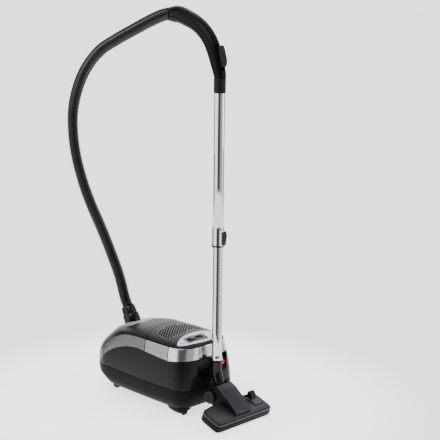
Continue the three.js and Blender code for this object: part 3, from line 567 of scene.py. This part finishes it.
# grille: rows of slanted oblong slots
grille = both(copy(TOP), prism(loop(grille_outline(0)), 90, 300))


def pill(cx, cy, half_len, half_w, ang, z0, z1, n=5):
    pts = []
    for s in (1, -1):
        for k in range(n + 1):
            a = -math.pi / 2 + math.pi * k / n
            x, y = s * (half_len - half_w + half_w * math.cos(a)), s * half_w * math.sin(a)
            pts.append((x, y))
    c, s_ = math.cos(ang), math.sin(ang)
    return prism([(cx + c * x - s_ * y, cy + s_ * x + c * y) for x, y in pts], z0, z1)


slots = []
in_outline = loop(grille_outline(-6))


def inside(x, y, poly):
    r = False
    for i in range(len(poly)):
        (x1, y1), (x2, y2) = poly[i], poly[(i + 1) % len(poly)]
        if (y1 > y) != (y2 > y) and x < (x2 - x1) * (y - y1) / (y2 - y1) + x1:
            r = not r
    return r


ANG = math.radians(129)
dx_, dy_ = math.cos(ANG), math.sin(ANG)
for i in range(-16, 17):
    for j in range(-9, 10):
        t = 18.4 * j + (9.2 if i % 2 else 0)
        x, y = 100 + dx_ * t + dy_ * 8.2 * i, dy_ * t - dx_ * 8.2 * i
        if inside(x - 5.2 * dx_, y - 5.2 * dy_, in_outline) and inside(x + 5.2 * dx_, y + 5.2 * dy_, in_outline):
            slots.append(pill(x, y, 7.8, 2.5, ANG, 190, 300))
grille = cut(grille, join(slots))
done(grille, "v_grille", "grille_dark", "canister", ["exhaust_grille"])
# black sheet under the grille slots is painted shade: it stands for the shaded hollow inside and hides the pale exhaust
# filter below
under = both(shell_between((4.2, 4.2, 4.2), (5.0, 5.0, 5.0)), prism(loop(grille_outline(-1.5)), 190, 300))
done(under, "v_grille_painted_shade", "joint_black_and_painted_shade", "canister")

# control panel
PED = lambda s, d: ([[186 - d, d - 70], [191 - d, -84 - d], [199 + d, -84 - d], [207 + d, d - 70]] if s < 0 else
                    [[182 - d, 58 - d], [186 - d, 84 + d], [200 + d, 84 + d], [209 + d, 58 - d]])
def win_outline(d): return [[184 - d, -64 - d], [214 + d, -66 - d], [219 + d, -22], [219.5 + d, 20 + d], [186 - d, 23 + d], [182 - d, -20]]


raised = both(shell_between((-1.0, -1.0, -1.0), (2.4, 2.4, 2.4)), copy(above))
panel = both(raised, prism(loop(panel_outline(0)), 90, 300))
for s in (1, -1):
    panel = cut(panel, prism(PED(s, 0.6), 90, 300))
panel = cut(panel, prism(win_outline(0.4), 90, 300))
done(panel, "v_control_panel", "silver_bright", "canister", ["control_panel"])
thin = both(shell_between((0.3, 0.3, 0.3), (2.6, 2.6, 2.6)), copy(above))
win = both(thin, prism(win_outline(0), 90, 300))
win = cut(win, box(190.5, 205.5, -54, 10, 200, 300))
done(win, "v_window", "window", "canister", ["regulator_window"])
floor_w = both(shell_between((3.0, 3.0, 3.0), (3.6, 3.6, 3.6)), box(189, 207, -56, 12, 200, 300))
done(floor_w, "v_window_floor", "dark_matt", "canister")
arc_skin = both(shell_between((-1.9, -1.9, -1.9), (0.6, 0.6, 0.6)), copy(above))
arc_pts = catmull([[186, -72], [176, -56], [170, -30], [168.4, 0], [169.6, 24], [174, 44], [181, 54]], 6)
arc2 = arc_pts + np.array([3.4, 0])
arc = both(arc_skin, prism(arc_pts.tolist() + arc2[::-1].tolist(), 200, 300))
done(arc, "v_panel_arc", "silver_bright", "canister")
knob = both(shell_between((-3.5, -3.5, -3.5), (4.5, 4.5, 4.5)), box(191.2, 204.8, -43, -25, 200, 300))
knob = bevel(knob, 0.6, 2)
done(knob, "v_knob", "pedal_grey", "regulator", ["regulator_knob"])
ped_skin = shell_between((-2.4, -2.4, -2.4), (1.6, 1.6, 1.6))
for s, b, n in ((-1, "power_button", "power_pedal"), (1, "rewind_button", "rewind_pedal")):
    p = both(copy(ped_skin), prism(PED(s, 0), 90, 300))
    p = bevel(p, 0.8, 3)
    done(p, "v_" + n, "silver_bright", b, [n])
bpy.data.objects.remove(ped_skin, do_unlink=True)

# ---------------------------------------------------------------- port, cuffs
done(port_place(lathe([[24.6, -26], [27.4, -26], [27.4, 2.2], [30.2, 3], [30.2, 5.2], [24.6, 5.2], [24.6, -26]], 64)), "v_inlet_port", "dark_gloss", "lid_body", ["inlet_port"])
cuff = lathe([[17, -18], [24.2, -18], [24.2, 5.6], [28.2, 5.7], [28.8, 6.4], [28.7, 17], [27.7, 28], [26.6, 29.6], [24.8, 30.2], [24.8, 32.8], [25.6, 34], [25.2, 40], [23.6, 54], [22.6, 57.4], [21.5, 58], [17, 58], [17, -18]], 64)
cuff = cut(cuff, box(16, 32, -5.5, 5.5, 10.5, 23.5))
done(port_place(cuff), "v_hose_cuff", "dark_gloss", "cuff", ["hose_cuff"])
btn = lathe([[0, 22.8], [4.6, 22.8], [4.7, 29.8], [3.9, 30.9], [0, 31.2]], 32, "x", (0, 0, 17))
done(port_place(btn), "v_cuff_button", "dark_gloss", "cuff_release", ["cuff_button"])

# ---------------------------------------------------------------- hose
sa, ca = math.sin(LEAN), math.cos(LEAN)
def on_port(t): return [PORT[0] - sa * t, 0, PORT[1] + ca * t]


HOSE = [on_port(58.5), on_port(72), on_port(90), [-190.5, 0, 372], [-235.6, 0, 452.7], [-284.8, 0, 530.5], [-339.3, 0, 608.1], [-384.1, 0, 687.9],
        [-416.1, 0, 769.8], [-432, 0, 853], [-429, 0, 939], [-397.9, 0, 1025.7], [-352, 0, 1092], [-282, 0, 1152],
        [-200.7, 0, 1192], [-121.7, 0, 1225.7], [-45, 0, 1257.5], [14, 0, 1278.5], [44, 0, 1285.4], [60.3, 0, 1286]]
PITCH = 7.0
line, arc_s = resample(centripetal(HOSE, 24), PITCH / 9)
mid = int(np.argmin(np.abs(arc_s - 0.55 * arc_s[-1])))


def hose_radius(offset):
    def f(i, a):
        ph = arc_s[np.clip(i + offset, 0, len(arc_s) - 1)] / PITCH - a / (2 * math.pi)
        w = 0.5 + 0.5 * np.cos(2 * math.pi * ph)
        return 17.0 + 3.5 * w ** 0.9
    return f


def hose_piece(i0, i1, name):
    o = tube(line[i0:i1 + 1], hose_radius(i0), 36, name, ends=True)
    o.data.transform(TO_ROW)
    for p in o.data.polygons:
        p.use_smooth = True
    o.data.materials.append(MAT["hose"])
    path = [((x + SX) / 1000, y / 1000, z / 1000) for x, y, z in line[i0:i1 + 1:3]]
    last = line[i1]
    if abs(path[-1][2] - last[2] / 1000) > 1e-9:
        path.append(((last[0] + SX) / 1000, last[1] / 1000, last[2] / 1000))
    return o, path, (arc_s[i1] - arc_s[i0]) / 1000


low, low_path, low_len = hose_piece(0, mid, "v_hose_lower")
high, high_path, high_len = hose_piece(mid, len(line) - 1, "v_hose_upper")
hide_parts("hose"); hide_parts("hose")
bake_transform(low)
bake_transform(high)

# ---------------------------------------------------------------- handle
HANDLE = [[72, 1286, 27], [100, 1285.5, 27], [133, 1276, 26.5], [166, 1264, 25.5], [196, 1247, 25], [221, 1225, 24.5], [240, 1200, 24], [255, 1168, 23.3], [266, 1138, 22.2], [273.5, 1116, 21], [276, 1106, 20], [276, 1098.2, 19.5]]
hl = catmull(HANDLE, 6)


def handle_shell(side):
    n = 18
    v, f = [], []
    m = len(hl)
    for k in range(m):
        a, b = hl[max(0, k - 1)], hl[min(m - 1, k + 1)]
        t = np.array([b[0] - a[0], b[1] - a[1]]); t /= np.linalg.norm(t)
        nx, nz = -t[1], t[0]
        cx, cz, r = hl[k]
        if k < 3:
            r = r - (3 - k) ** 2 * 0.28
        sec = []
        for i in range(n + 1):
            u = math.pi * i / n
            groove = 0.9 * math.exp(-((min(u, math.pi - u)) / 0.10) ** 2)
            sec.append((math.cos(u) * (r - groove), math.sin(u) * (r - groove) * 0.93 + 0.2))
        for i in range(n, -1, -1):
            u = math.pi * i / n
            sec.append((math.cos(u) * (r - 3), math.sin(u) * (r * 0.93 - 3) + 0.2))
        v += [(cx + nx * u, side * w, cz + nz * u) for u, w in sec]
    q = 2 * (n + 1)
    for k in range(m - 1):
        for i in range(q):
            j = (i + 1) % q
            f.append((k * q + i, k * q + j, (k + 1) * q + j, (k + 1) * q + i))
    for k in (0, m - 1):
        for i in range(n):
            f.append((k * q + i, k * q + i + 1, k * q + q - 2 - i, k * q + q - 1 - i))
    return new("hs", v, f)


for s, tag in ((-1, "left"), (1, "right")):
    h = handle_shell(s)
    h = cut(h, box(262, 320, -8, 8, 1122, 1202))
    if s < 0:
        h = cut(h, rod(3.3, -40, -22.6, 28, "y", (84, 0, 1286)))
    done(h, "v_handle_" + tag, "handle", "wand_upper", ["handle_shell_" + tag])
pin = lathe([[0, -23.2], [2.4, -23.2], [2.4, -25.2], [1.6, -26.0], [0, -26.0]], 24, "y", (84, 0, 1286))
done(pin, "v_handle_pin", "pedal_grey", "wand_upper")
slider = prism([[283, 1199], [274, 1196], [283, 1150], [287, 1134], [296, 1134], [299.2, 1146], [298.8, 1156], [290, 1187]], -7.2, 7.2, "XZ")
for k in range(7):
    t = k / 6
    x, z = 291.8 + 7.0 * t, 1182 - 32 * t
    slider = cut(slider, prism([[x + 6, z - 1.1], [x + 6, z + 1.1], [x - 0.9, z + 0.6], [x - 0.9, z - 0.6]], -5.6, 5.6, "XZ"))
done(bevel(slider, 0.6, 2), "v_slider", "dark_matt", "suction_relief", ["relief_slider"])
hc = lathe([[15, 0], [23.2, 0], [24, 0.8], [24, 8.7], [23.2, 9.5], [20.4, 9.7], [20.4, 26], [15, 26], [15, 0]], 64, "x", (61, 0, 1286))
done(hc, "v_hose_end", "dark_matt", "hose_end", ["hose_end_cuff"])
sp = lathe([[15, 1052], [18.4, 1052], [18.6, 1052.6], [18.9, 1075], [19.6, 1075.5], [19.6, 1079], [19.0, 1079.6], [19.4, 1097.4], [15.8, 1097.4], [15, 1052]], 64, "z", (WAND_X, 0, 0))
sp = cut(sp, ring(16.3, 25, 1040, 1066.4, 64, "z", (WAND_X, 0, 0)))
sp = plus(sp, ring(17.7, 19.2, 1053, 1068, 64, "z", (WAND_X, 0, 0)))
done(sp, "v_spigot", "dark_matt", "wand_upper", ["handle_spigot"])

# ---------------------------------------------------------------- tubes
done(lathe([[16.5, 572], [17.3, 572], [17.5, 572.3], [17.5, 1065.7], [17.3, 1066], [16.5, 1066], [16.5, 572]], 96, "z", (WAND_X, 0, 0)), "v_upper_tube", "chrome", "wand_upper", ["upper_tube"], sharp=40)
col = lathe([[17.9, 568.4], [19.6, 568.4], [20, 568.8], [20, 622], [19.4, 626.5], [18.6, 628], [17.9, 628], [17.9, 568.4]], 80, "z", (WAND_X, 0, 0))
blk = bevel(box(WAND_X + 10, WAND_X + 24.5, -10.2, 10.2, 568.6, 618), 2.2, 4)
blk = cut(blk, rod(18.6, 540, 650, 80, "z", (WAND_X, 0, 0)))
blk = cut(blk, box(WAND_X + 19.2, WAND_X + 40, -8.2, 8.2, 570.4, 616))
col = plus(col, blk)
done(col, "v_collar", "chrome", "wand_upper", ["telescope_collar"])
done(lathe([[16.5, 563.5], [20.2, 563.5], [20.8, 564.1], [20.8, 567.4], [20.2, 568], [16.5, 568], [16.5, 563.5]], 64, "z", (WAND_X, 0, 0)), "v_collar_ring", "dark_matt", "wand_upper", ["collar_ring"])
lb = prism([[299.6, 571], [303.5, 571], [305.5, 588], [307.5, 602], [306.9, 609], [304.6, 614], [301.8, 611.4], [299.6, 611.8]], -7.8, 7.8, "XZ")
lb = cut(lb, lathe([[0, 620], [6.0, 620], [5.0, 612], [2.5, 607.5], [0, 606.5]], 32, "z", (304.5, 0, 0)))
done(bevel(lb, 0.8, 3), "v_lock_button", "dark_gloss", "lock", ["lock_button"])


def dimpled(r_out, z0, z1, centres, step=1.25, seg=112):
    """tube outside with a row of shallow pill-shaped detents on its +X side"""
    z = np.arange(z0, z1 + step / 2, step)
    z[-1] = z1
    a = np.arange(seg) * 2 * math.pi / seg
    a = np.where(a > math.pi, a - 2 * math.pi, a)
    R = np.full((len(z), seg), r_out)
    for c in centres:
        dz = np.abs(z[:, None] - c) / 4.6
        da = np.abs(a[None, :] * r_out) / 5.4
        d = (dz ** 4 + da ** 4) ** 0.25
        R -= 1.5 * np.clip((1 - d) / 0.42, 0, 1) ** 1.0 * (d < 1)
    v = [(WAND_X + R[i, j] * math.cos(a[j]), R[i, j] * math.sin(a[j]), z[i]) for i in range(len(z)) for j in range(seg)]
    f = [(i * seg + j, i * seg + (j + 1) % seg, (i + 1) * seg + (j + 1) % seg, (i + 1) * seg + j) for i in range(len(z) - 1) for j in range(seg)]
    n = len(v)
    for zz in (z0, z1):
        v += [(WAND_X + 15 * math.cos(x), 15 * math.sin(x), zz) for x in a]
    for j in range(seg):
        k = (j + 1) % seg
        f.append((j, n + j, n + k, k))
        t = (len(z) - 1) * seg
        f.append((t + j, t + k, n + seg + k, n + seg + j))
        f.append((n + j, n + seg + j, n + seg + k, n + k))
    return new("d", v, f)


lt = dimpled(16.0, 201, 690, [552 - 20 * k for k in range(16)])
done(lt, "v_lower_tube", "chrome", "wand_lower", ["lower_tube"], sharp=50)
fl = lathe([[16.02, 188], [18.5, 188], [18.8, 188.4], [18.8, 195], [18.2, 198], [17, 200.6], [16.1, 203], [16.02, 203], [16.02, 188]], 96, "z", (WAND_X, 0, 0))
done(fl, "v_tube_flare", "chrome", "wand_lower", sharp=40)
it = ring(15, 16.0, 188, 201, 96, "z", (WAND_X, 0, 0))
done(it, "v_tube_foot", "chrome", "wand_lower")

# ---------------------------------------------------------------- neck
NECK = [[276, 0, 187.4], [276, 0, 180], [276, 0, 165], [276.6, 0, 147], [281, 0, 128], [288.5, 0, 110], [291, 0, 94], [289, 0, 78]]
nl, ns = resample(centripetal(NECK, 12), 1.2)


def neck_radius(i, a):
    s = ns[np.clip(i, 0, len(ns) - 1)]
    r = 17.0 + 0 * a
    r = r - 0.5 * np.exp(-((s - 7) / 0.8) ** 2)
    ribs_zone = (s > 58) & (s < 92) & (np.cos(a) < 0.2)
    r = r - np.where(ribs_zone, 0.7 * (0.5 + 0.5 * np.cos(2 * math.pi * s / 6.2)), 0)
    return np.minimum(r, 17.0)


neck = tube(nl, neck_radius, 56, "neck")
drum = bevel(rod(20.5, -26, 26, 64, "y", (PIV[0], 0, PIV[1])), 1.2, 3)
neck = plus(neck, drum)
done(neck, "v_neck", "dark_matt", "wand_lower", ["neck"])
sleeve_l, sleeve_s = resample(centripetal([[276, 0, 180], [276, 0, 165], [276.6, 0, 147], [281, 0, 128], [286, 0, 116]], 10), 1.5)


def half_sleeve():
    seg = 20
    v, f = [], []
    P = sleeve_l
    T = np.gradient(P, axis=0); T /= np.linalg.norm(T, axis=1)[:, None]
    U = np.cross(T, np.array([0, 1.0, 0])); U /= np.linalg.norm(U, axis=1)[:, None]
    n = len(P)
    for r in (17.05, 18.0):
        for k in range(n):
            taper = 1.0 - 0.35 * max(0, (sleeve_s[k] / sleeve_s[-1]) - 0.5)
            for i in range(seg + 1):
                a = -1.9 * taper + 3.8 * taper * i / seg - math.pi / 2 * 0.55
                v.append(P[k] + r * (math.sin(a) * np.array([0, 1.0, 0]) + math.cos(a) * (U[k] if U[k][0] < 0 else -U[k])))
    q = seg + 1
    for k in range(n - 1):
        for i in range(seg):
            a0 = k * q + i
            f.append((a0, a0 + 1, a0 + q + 1, a0 + q)); b0 = a0 + n * q
            f.append((b0, b0 + q, b0 + q + 1, b0 + 1))
        for i in (0, seg):
            a0 = k * q + i; b0 = a0 + n * q
            f.append((a0, a0 + q, b0 + q, b0))
    for k in (0, n - 1):
        for i in range(seg):
            a0 = k * q + i; b0 = a0 + n * q
            f.append((a0, b0, b0 + 1, a0 + 1))
    return new("sl", v, f)


done(half_sleeve(), "v_neck_sleeve", "dark_gloss", "wand_lower")
done(bevel(prism([[249.2, 116.2], [253.4, 116.2], [253.4, 140], [258.2, 143], [258.2, 158], [249.2, 152]], -7.6, 7.6, "XZ"), 0.6, 2), "v_hook", "dark_matt", "wand_lower", ["parking_hook"])

# ---------------------------------------------------------------- nozzle
NH = 127.0


def noz_plan(d):
    return [[46 + d, -NH + 16 + d], [54 + d, -NH + 5 + d], [66 + d, -NH + d], [122 - d, -NH + d], [131 - d, -NH + 5 + d], [134 - d, -NH + 16 + d],
            [134 - d, NH - 16 - d], [131 - d, NH - 5 - d], [122 - d, NH - d], [66 + d, NH - d], [54 + d, NH - 5 - d], [46 + d, NH - 16 - d], [38 + d, 60], [38 + d, -60]]


nb = bevel(prism(noz_plan(0), -24, -4.2), 1.6, 3, 50)
nb = cut(nb, prism([[74, -112], [108, -112], [108, 112], [74, 112]], -30, -14))
nb = cut(nb, box(60, 68, -108, 108, -30, -17))
nb = cut(nb, box(114, 122, -108, 108, -30, -17))
done(noz_place(nb), "v_nozzle_base", "tray_matt", "nozzle", ["nozzle_base"])
rim = bevel(prism(noz_plan(0.6), -3.4, 3.9), 1.4, 3, 50)
rim = cut(rim, box(46, 106, 70, 107, -1, 20))
done(noz_place(rim), "v_nozzle_rim", "nozzle_blue", "nozzle", ["nozzle_top"])
top = bevel(prism(noz_plan(5), 3.9, 7.6), 1.8, 4, 50)
top = cut(top, box(46, 106, 70, 107, -1, 20))
groove = lambda m0, m1: prism([[50 + m0, -118 + m0], [116 - m0, -119 + m0], [121 - m0, -113 + m0], [121 - m0, -38 - m0], [50 + m0, -38 - m0]], 6.6, 20)
gr = cut(groove(0, 0), prism([[51.3, -116.7], [115.2, -117.6], [119.7, -112.3], [119.7, -39.3], [51.3, -39.3]], 6, 21))
top = cut(top, gr)
gr2 = cut(prism([[50, 38], [121, 38], [121, 113], [116, 119], [50, 118]], 6.6, 20), prism([[51.3, 39.3], [119.7, 39.3], [119.7, 112.3], [115.2, 117.6], [51.3, 116.7]], 6, 21))
top = cut(top, gr2)
done(noz_place(top), "v_nozzle_top", "nozzle_blue", "nozzle")
well = box(46.4, 105.6, 70.4, 106.6, -1.6, -0.8)
done(noz_place(well), "v_pedal_well", "dark_matt", "nozzle")
yk = [[-16, -16], [12, -22], [37, -22], [37, 8.2], [113, 8.2], [113, 13], [96, 20.5], [70, 31], [48, 38], [30, 43.5], [10, 46], [-8, 40], [-22, 26], [-26, 8]]
yks = catmull([[37, 8.2]] + [[113, 8.2]] + yk[5:] + [[-24, -6]] + yk[:3], 1).tolist()
arc_top = catmull([[113, 13], [96, 20.5], [70, 31], [48, 38], [30, 43.5], [10, 46], [-8, 40], [-22, 26], [-26, 8], [-16, -16]], 4).tolist()
yk_s = [[12, -22], [37, -22], [37, 8.2], [113, 8.2]] + arc_top
for s in (-1, 1):
    a, b = sorted((s * 28.6, s * 34))
    w = bevel(prism(yk_s, a, b, "XZ"), 1.0, 2, 50)
    done(noz_place(w), "v_yoke_%s" % ("l" if s < 0 else "r"), "tray_matt", "nozzle", ["nozzle_yoke"] if s < 0 else ())
bar = box(64, 112, -28.7, 28.7, 8.2, 12)
ax1 = plus(rod(3.6, -44, -28.7, 24, "y", (0, 0, 0)), rod(3.6, 28.7, 44, 24, "y", (0, 0, 0)))
done(noz_place(join([bar, ax1])), "v_yoke_bar", "tray_matt", "nozzle")
sad_out = catmull([[10, 50], [30, 47.4], [48, 42], [70, 35], [96, 24.4], [113, 17.4], [118.6, 13]], 5).tolist()
sad_in = catmull([[113.6, 13.4], [96.4, 21], [70.4, 31.5], [48.4, 38.5], [30, 44], [10, 46.4]], 5).tolist()
sad = prism(sad_out + [[118.6, 8.4], [115, 8.4]] + sad_in, -34.6, 34.6, "XZ")
done(noz_place(bevel(sad, 1.2, 3, 40)), "v_saddle", "nozzle_blue", "nozzle", ["nozzle_saddle"])
for s, tag in ((-1, "left"), (1, "right")):
    pr = [[4, -44], [17, -44], [18.4, -44.6], [19, -44], [20.8, -43.4], [22, -42], [22, -37], [20.8, -35.6], [19, -35], [4, -35], [4, -44]]
    pr = [[r, t if s < 0 else -t] for r, t in pr]
    done(noz_place(lathe(pr, 56, "y", (0, 0, 0))), "v_roller_" + tag, "rubber", "wheel_" + tag, ["roller_" + tag])
leaf = prism([[60, 8.8], [80, 8.8], [80, 12], [76, 19], [70, 26], [62, 30], [56, 29], [54, 22], [56, 14]], 77, 101, "XZ")
done(noz_place(bevel(leaf, 1.4, 3, 30)), "v_pedal_leaf", "dark_matt", "pedal", ["foot_pedal"])
pad = prism([[80.4, 5], [103, 5], [103, 8.6], [100, 10.8], [80.4, 12]], 73, 104, "XZ")
for k in range(4):
    pad = cut(pad, box(84 + 4.2 * k, 85.2 + 4.2 * k, 75.5, 101.5, 9.4, 14))
done(noz_place(bevel(pad, 0.7, 2, 40)), "v_pedal_pad", "pedal_grey", "pedal", ["pedal_pad"])
for tag, x0 in (("front", 114.6), ("rear", 60.6)):
    tufts = [box(x0 + 0.2, x0 + 6.6, -106.5 + 213 * k / 48, -106.5 + 213 * (k + 0.8) / 48, -23.0, -17.6) for k in range(48)]
    base = box(x0, x0 + 6.8, -107, 107, -18.6, -17.4)
    done(noz_place(join([base] + tufts)), "v_bristle_" + tag, "bristle", "bristles", ["bristle_" + tag])

# ---------------------------------------------------------------- casters
for tag, cx, cy, top_z in (("rear_left", 206, -83, 23.2), ("rear_right", 206, 83, 23.2), ("front_left", -137, -66, 22.9), ("front_right", -137, 66, 22.9)):
    f = plus(plus(box(cx - 5, cx + 11, cy - 10.6, cy - 8.2, 6, top_z - 3 + 0.2), box(cx - 5, cx + 11, cy + 8.2, cy + 10.6, 6, top_z - 3 + 0.2)),
             lathe([[0, top_z - 3.2], [14.4, top_z - 3.2], [15, top_z - 2.6], [15, top_z], [0, top_z]], 40, "z", (cx, cy, 0)))
    f = plus(f, rod(2.2, -9, 9, 20, "y", (cx + 5, cy, 9.4)))
    done(f, "v_fork_" + tag, "dark_matt", "fork_" + tag, ["caster_fork_" + tag])
    w = lathe([[2.6, -7.2], [7.2, -7.2], [8.6, -6.7], [9.3, -5.4], [9.4, -4.4], [9.4, 4.4], [9.3, 5.4], [8.6, 6.7], [7.2, 7.2], [2.6, 7.2], [2.6, -7.2]], 40, "y", (cx + 5, cy, 9.4))
    done(w, "v_wheel_" + tag, "rubber", "wheel_" + tag, ["caster_wheel_" + tag])

# ---------------------------------------------------------------- plug in the recess
pl = plus(bevel(rod(11.4, 209.6, 237.6, 48, "x", (0, 65.6, 155)), 0.8, 2), bevel(box(209.6, 241, 58.6, 72.6, 133.4, 144), 1.0, 2))
pl = plus(pl, plus(rod(2.2, 235, 247, 20, "x", (0, 61.2, 138.6)), rod(2.2, 235, 247, 20, "x", (0, 70, 138.6))))
done(pl, "v_plug", "dark_matt", "canister", ["mains_plug"])
done(lathe([[0, 237.95], [9.5, 237.95], [9.5, 240.3], [8.3, 241.1], [0, 241.3]], 40, "x", (0, 66.8, 155)), "v_plug_mark", "red", "canister", ["plug_mark"])

# ---------------------------------------------------------------- inside: dust bag with folds
vb, fb = [], []
NU, NV = 72, 40
for j in range(NV + 1):
    th = math.pi * j / NV - math.pi / 2
    for i in range(NU):
        ph = 2 * math.pi * i / NU
        d = np.array([math.cos(th) * math.cos(ph), math.cos(th) * math.sin(ph), math.sin(th)])
        q = np.sign(d) * np.abs(d) ** 0.72
        n = noise.noise(Vector(d * 2.2)) * 0.030 + noise.noise(Vector(d * 6.0)) * 0.022
        fold = 0.018 * math.sin(9 * ph + 2.5 * math.sin(3 * th)) * math.cos(th) ** 2
        k = 0.955 + n + fold - 0.012
        vb.append((-58 + 72 * q[0] * min(k, 0.995), 76 * q[1] * min(k, 0.995), 98 + 62 * q[2] * min(k, 0.995)))
for j in range(NV):
    for i in range(NU):
        a, b = j * NU + i, j * NU + (i + 1) % NU
        fb.append((a, b, b + NU, a + NU))
bag = new("bag", vb, fb)
done(bag, "v_dust_bag", "bag_paper", "canister", ["dust_bag"], sharp=80)

# nodes that keep their CAD mesh
KEEP = {"motor_housing": "dark_matt", "motor_fan": "fan_metal", "cord_reel": "dark_matt", "exhaust_filter": "fleece", "lid_latch": "dark_matt"}
for n, m in KEEP.items():
    o = bpy.data.objects.get(n)
    o.data.materials.clear(); o.data.materials.append(MAT[m])

for o in (SHELL, TOP, above):
    bpy.data.objects.remove(o, do_unlink=True)

# ---------------------------------------------------------------- floor and light
BACK, FLOOR_NEAR = 2.3, 1.75
bm = bmesh.new()
bmesh.ops.create_circle(bm, cap_ends=True, segments=128, radius=0.95)
me = bpy.data.meshes.new("floor"); bm.to_mesh(me); bm.free()
floor = bpy.data.objects.new("floor", me); COLL.objects.link(floor)
fm = bpy.data.materials.new("floor_pale"); fm.use_nodes = True
ft = fm.node_tree
fb_ = ft.nodes["Principled BSDF"]
fb_.inputs["Roughness"].default_value = 0.9
fb_.inputs["Specular IOR Level"].default_value = 0.0
fb_.inputs["Emission Color"].default_value = (0.985, 0.99, 1, 1)
fc_ = ft.nodes.new("ShaderNodeTexCoord"); fl_ = ft.nodes.new("ShaderNodeVectorMath"); fl_.operation = "LENGTH"
ft.links.new(fc_.outputs["Object"], fl_.inputs[0])
fr_ = ft.nodes.new("ShaderNodeMapRange"); fr_.interpolation_type = "SMOOTHSTEP"
fr_.inputs["From Min"].default_value = 0.5; fr_.inputs["From Max"].default_value = 0.9
ft.links.new(fl_.outputs["Value"], fr_.inputs["Value"])
fe_ = ft.nodes.new("ShaderNodeMapRange"); fe_.inputs["To Min"].default_value = FLOOR_NEAR; fe_.inputs["To Max"].default_value = BACK
ft.links.new(fr_.outputs["Result"], fe_.inputs["Value"]); ft.links.new(fe_.outputs["Result"], fb_.inputs["Emission Strength"])
fx_ = ft.nodes.new("ShaderNodeMix"); fx_.data_type = "RGBA"
fx_.inputs[6].default_value = (0.8, 0.8, 0.8, 1); fx_.inputs[7].default_value = (0, 0, 0, 1)
ft.links.new(fr_.outputs["Result"], fx_.inputs[0]); ft.links.new(fx_.outputs[2], fb_.inputs["Base Color"])
me.materials.append(fm)
floor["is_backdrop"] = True

world = bpy.data.worlds.new("studio"); bpy.context.scene.world = world; world.use_nodes = True
wn = world.node_tree; bg = wn.nodes["Background"]
bg.inputs["Strength"].default_value = 1.0
# soft surround: bright low down and to the sides, darker bands behind the viewer for the bright metal to reflect
tc = wn.nodes.new("ShaderNodeTexCoord"); sep = wn.nodes.new("ShaderNodeSeparateXYZ")
wn.links.new(tc.outputs["Generated"], sep.inputs["Vector"])
at2 = wn.nodes.new("ShaderNodeMath"); at2.operation = "ARCTAN2"
wn.links.new(sep.outputs["Y"], at2.inputs[0]); wn.links.new(sep.outputs["X"], at2.inputs[1])
mr = wn.nodes.new("ShaderNodeMapRange"); mr.inputs["From Min"].default_value = -math.pi; mr.inputs["From Max"].default_value = math.pi
wn.links.new(at2.outputs[0], mr.inputs["Value"])
ramp = wn.nodes.new("ShaderNodeValToRGB")
el = ramp.color_ramp.elements
stops = [(0.0, 0.30), (0.10, 0.36), (0.14, 2.3), (0.265, 2.5), (0.295, 0.10), (0.405, 0.10), (0.435, 0.62), (0.53, 0.60), (0.56, 1.7), (0.64, 1.6), (0.67, 0.30), (0.80, BACK), (0.955, BACK), (1.0, 0.30)]
el[0].position = 0.0; el[1].position = 1.0
for pos, val in stops[1:-1]:
    e = el.new(pos)
for e, (pos, val) in zip(sorted(el, key=lambda q: q.position), stops):
    e.position = pos; e.color = (val * 0.985, val * 0.99, val, 1)
wn.links.new(mr.outputs["Result"], ramp.inputs["Fac"])
# looking steeply down past the floor the surround takes the floor's own tone
lo = wn.nodes.new("ShaderNodeMapRange"); lo.interpolation_type = "SMOOTHSTEP"
lo.inputs["From Min"].default_value = -0.345; lo.inputs["From Max"].default_value = -0.40
wn.links.new(sep.outputs["Z"], lo.inputs["Value"])
mx = wn.nodes.new("ShaderNodeMix"); mx.data_type = "RGBA"
mx.inputs[7].default_value = (BACK * 0.985, BACK * 0.99, BACK, 1)
wn.links.new(lo.outputs["Result"], mx.inputs[0]); wn.links.new(ramp.outputs["Color"], mx.inputs[6])
wn.links.new(mx.outputs[2], bg.inputs["Color"])


def area(name, loc, target, size, power, size_y=None, color=(1, 1, 1)):
    l = bpy.data.lights.new(name, "AREA"); l.energy = power; l.color = color
    l.shape = "RECTANGLE"; l.size = size; l.size_y = size_y or size
    o = bpy.data.objects.new(name, l); COLL.objects.link(o)
    o.location = loc
    o.rotation_euler = (Vector(target) - Vector(loc)).to_track_quat("-Z", "Y").to_euler()
    return o


area("key", (0.9, -2.2, 3.6), (0, 0, 0.3), 2.2, 80)
area("left", (-2.6, -2.6, 1.6), (0, 0, 0.4), 0.7, 22, 2.4)
area("rear", (2.6, 2.0, 1.8), (0, 0, 0.4), 0.8, 26, 2.4)

{"at_load": BOUNDS_AT_LOAD, "before_finish": plain(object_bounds())}
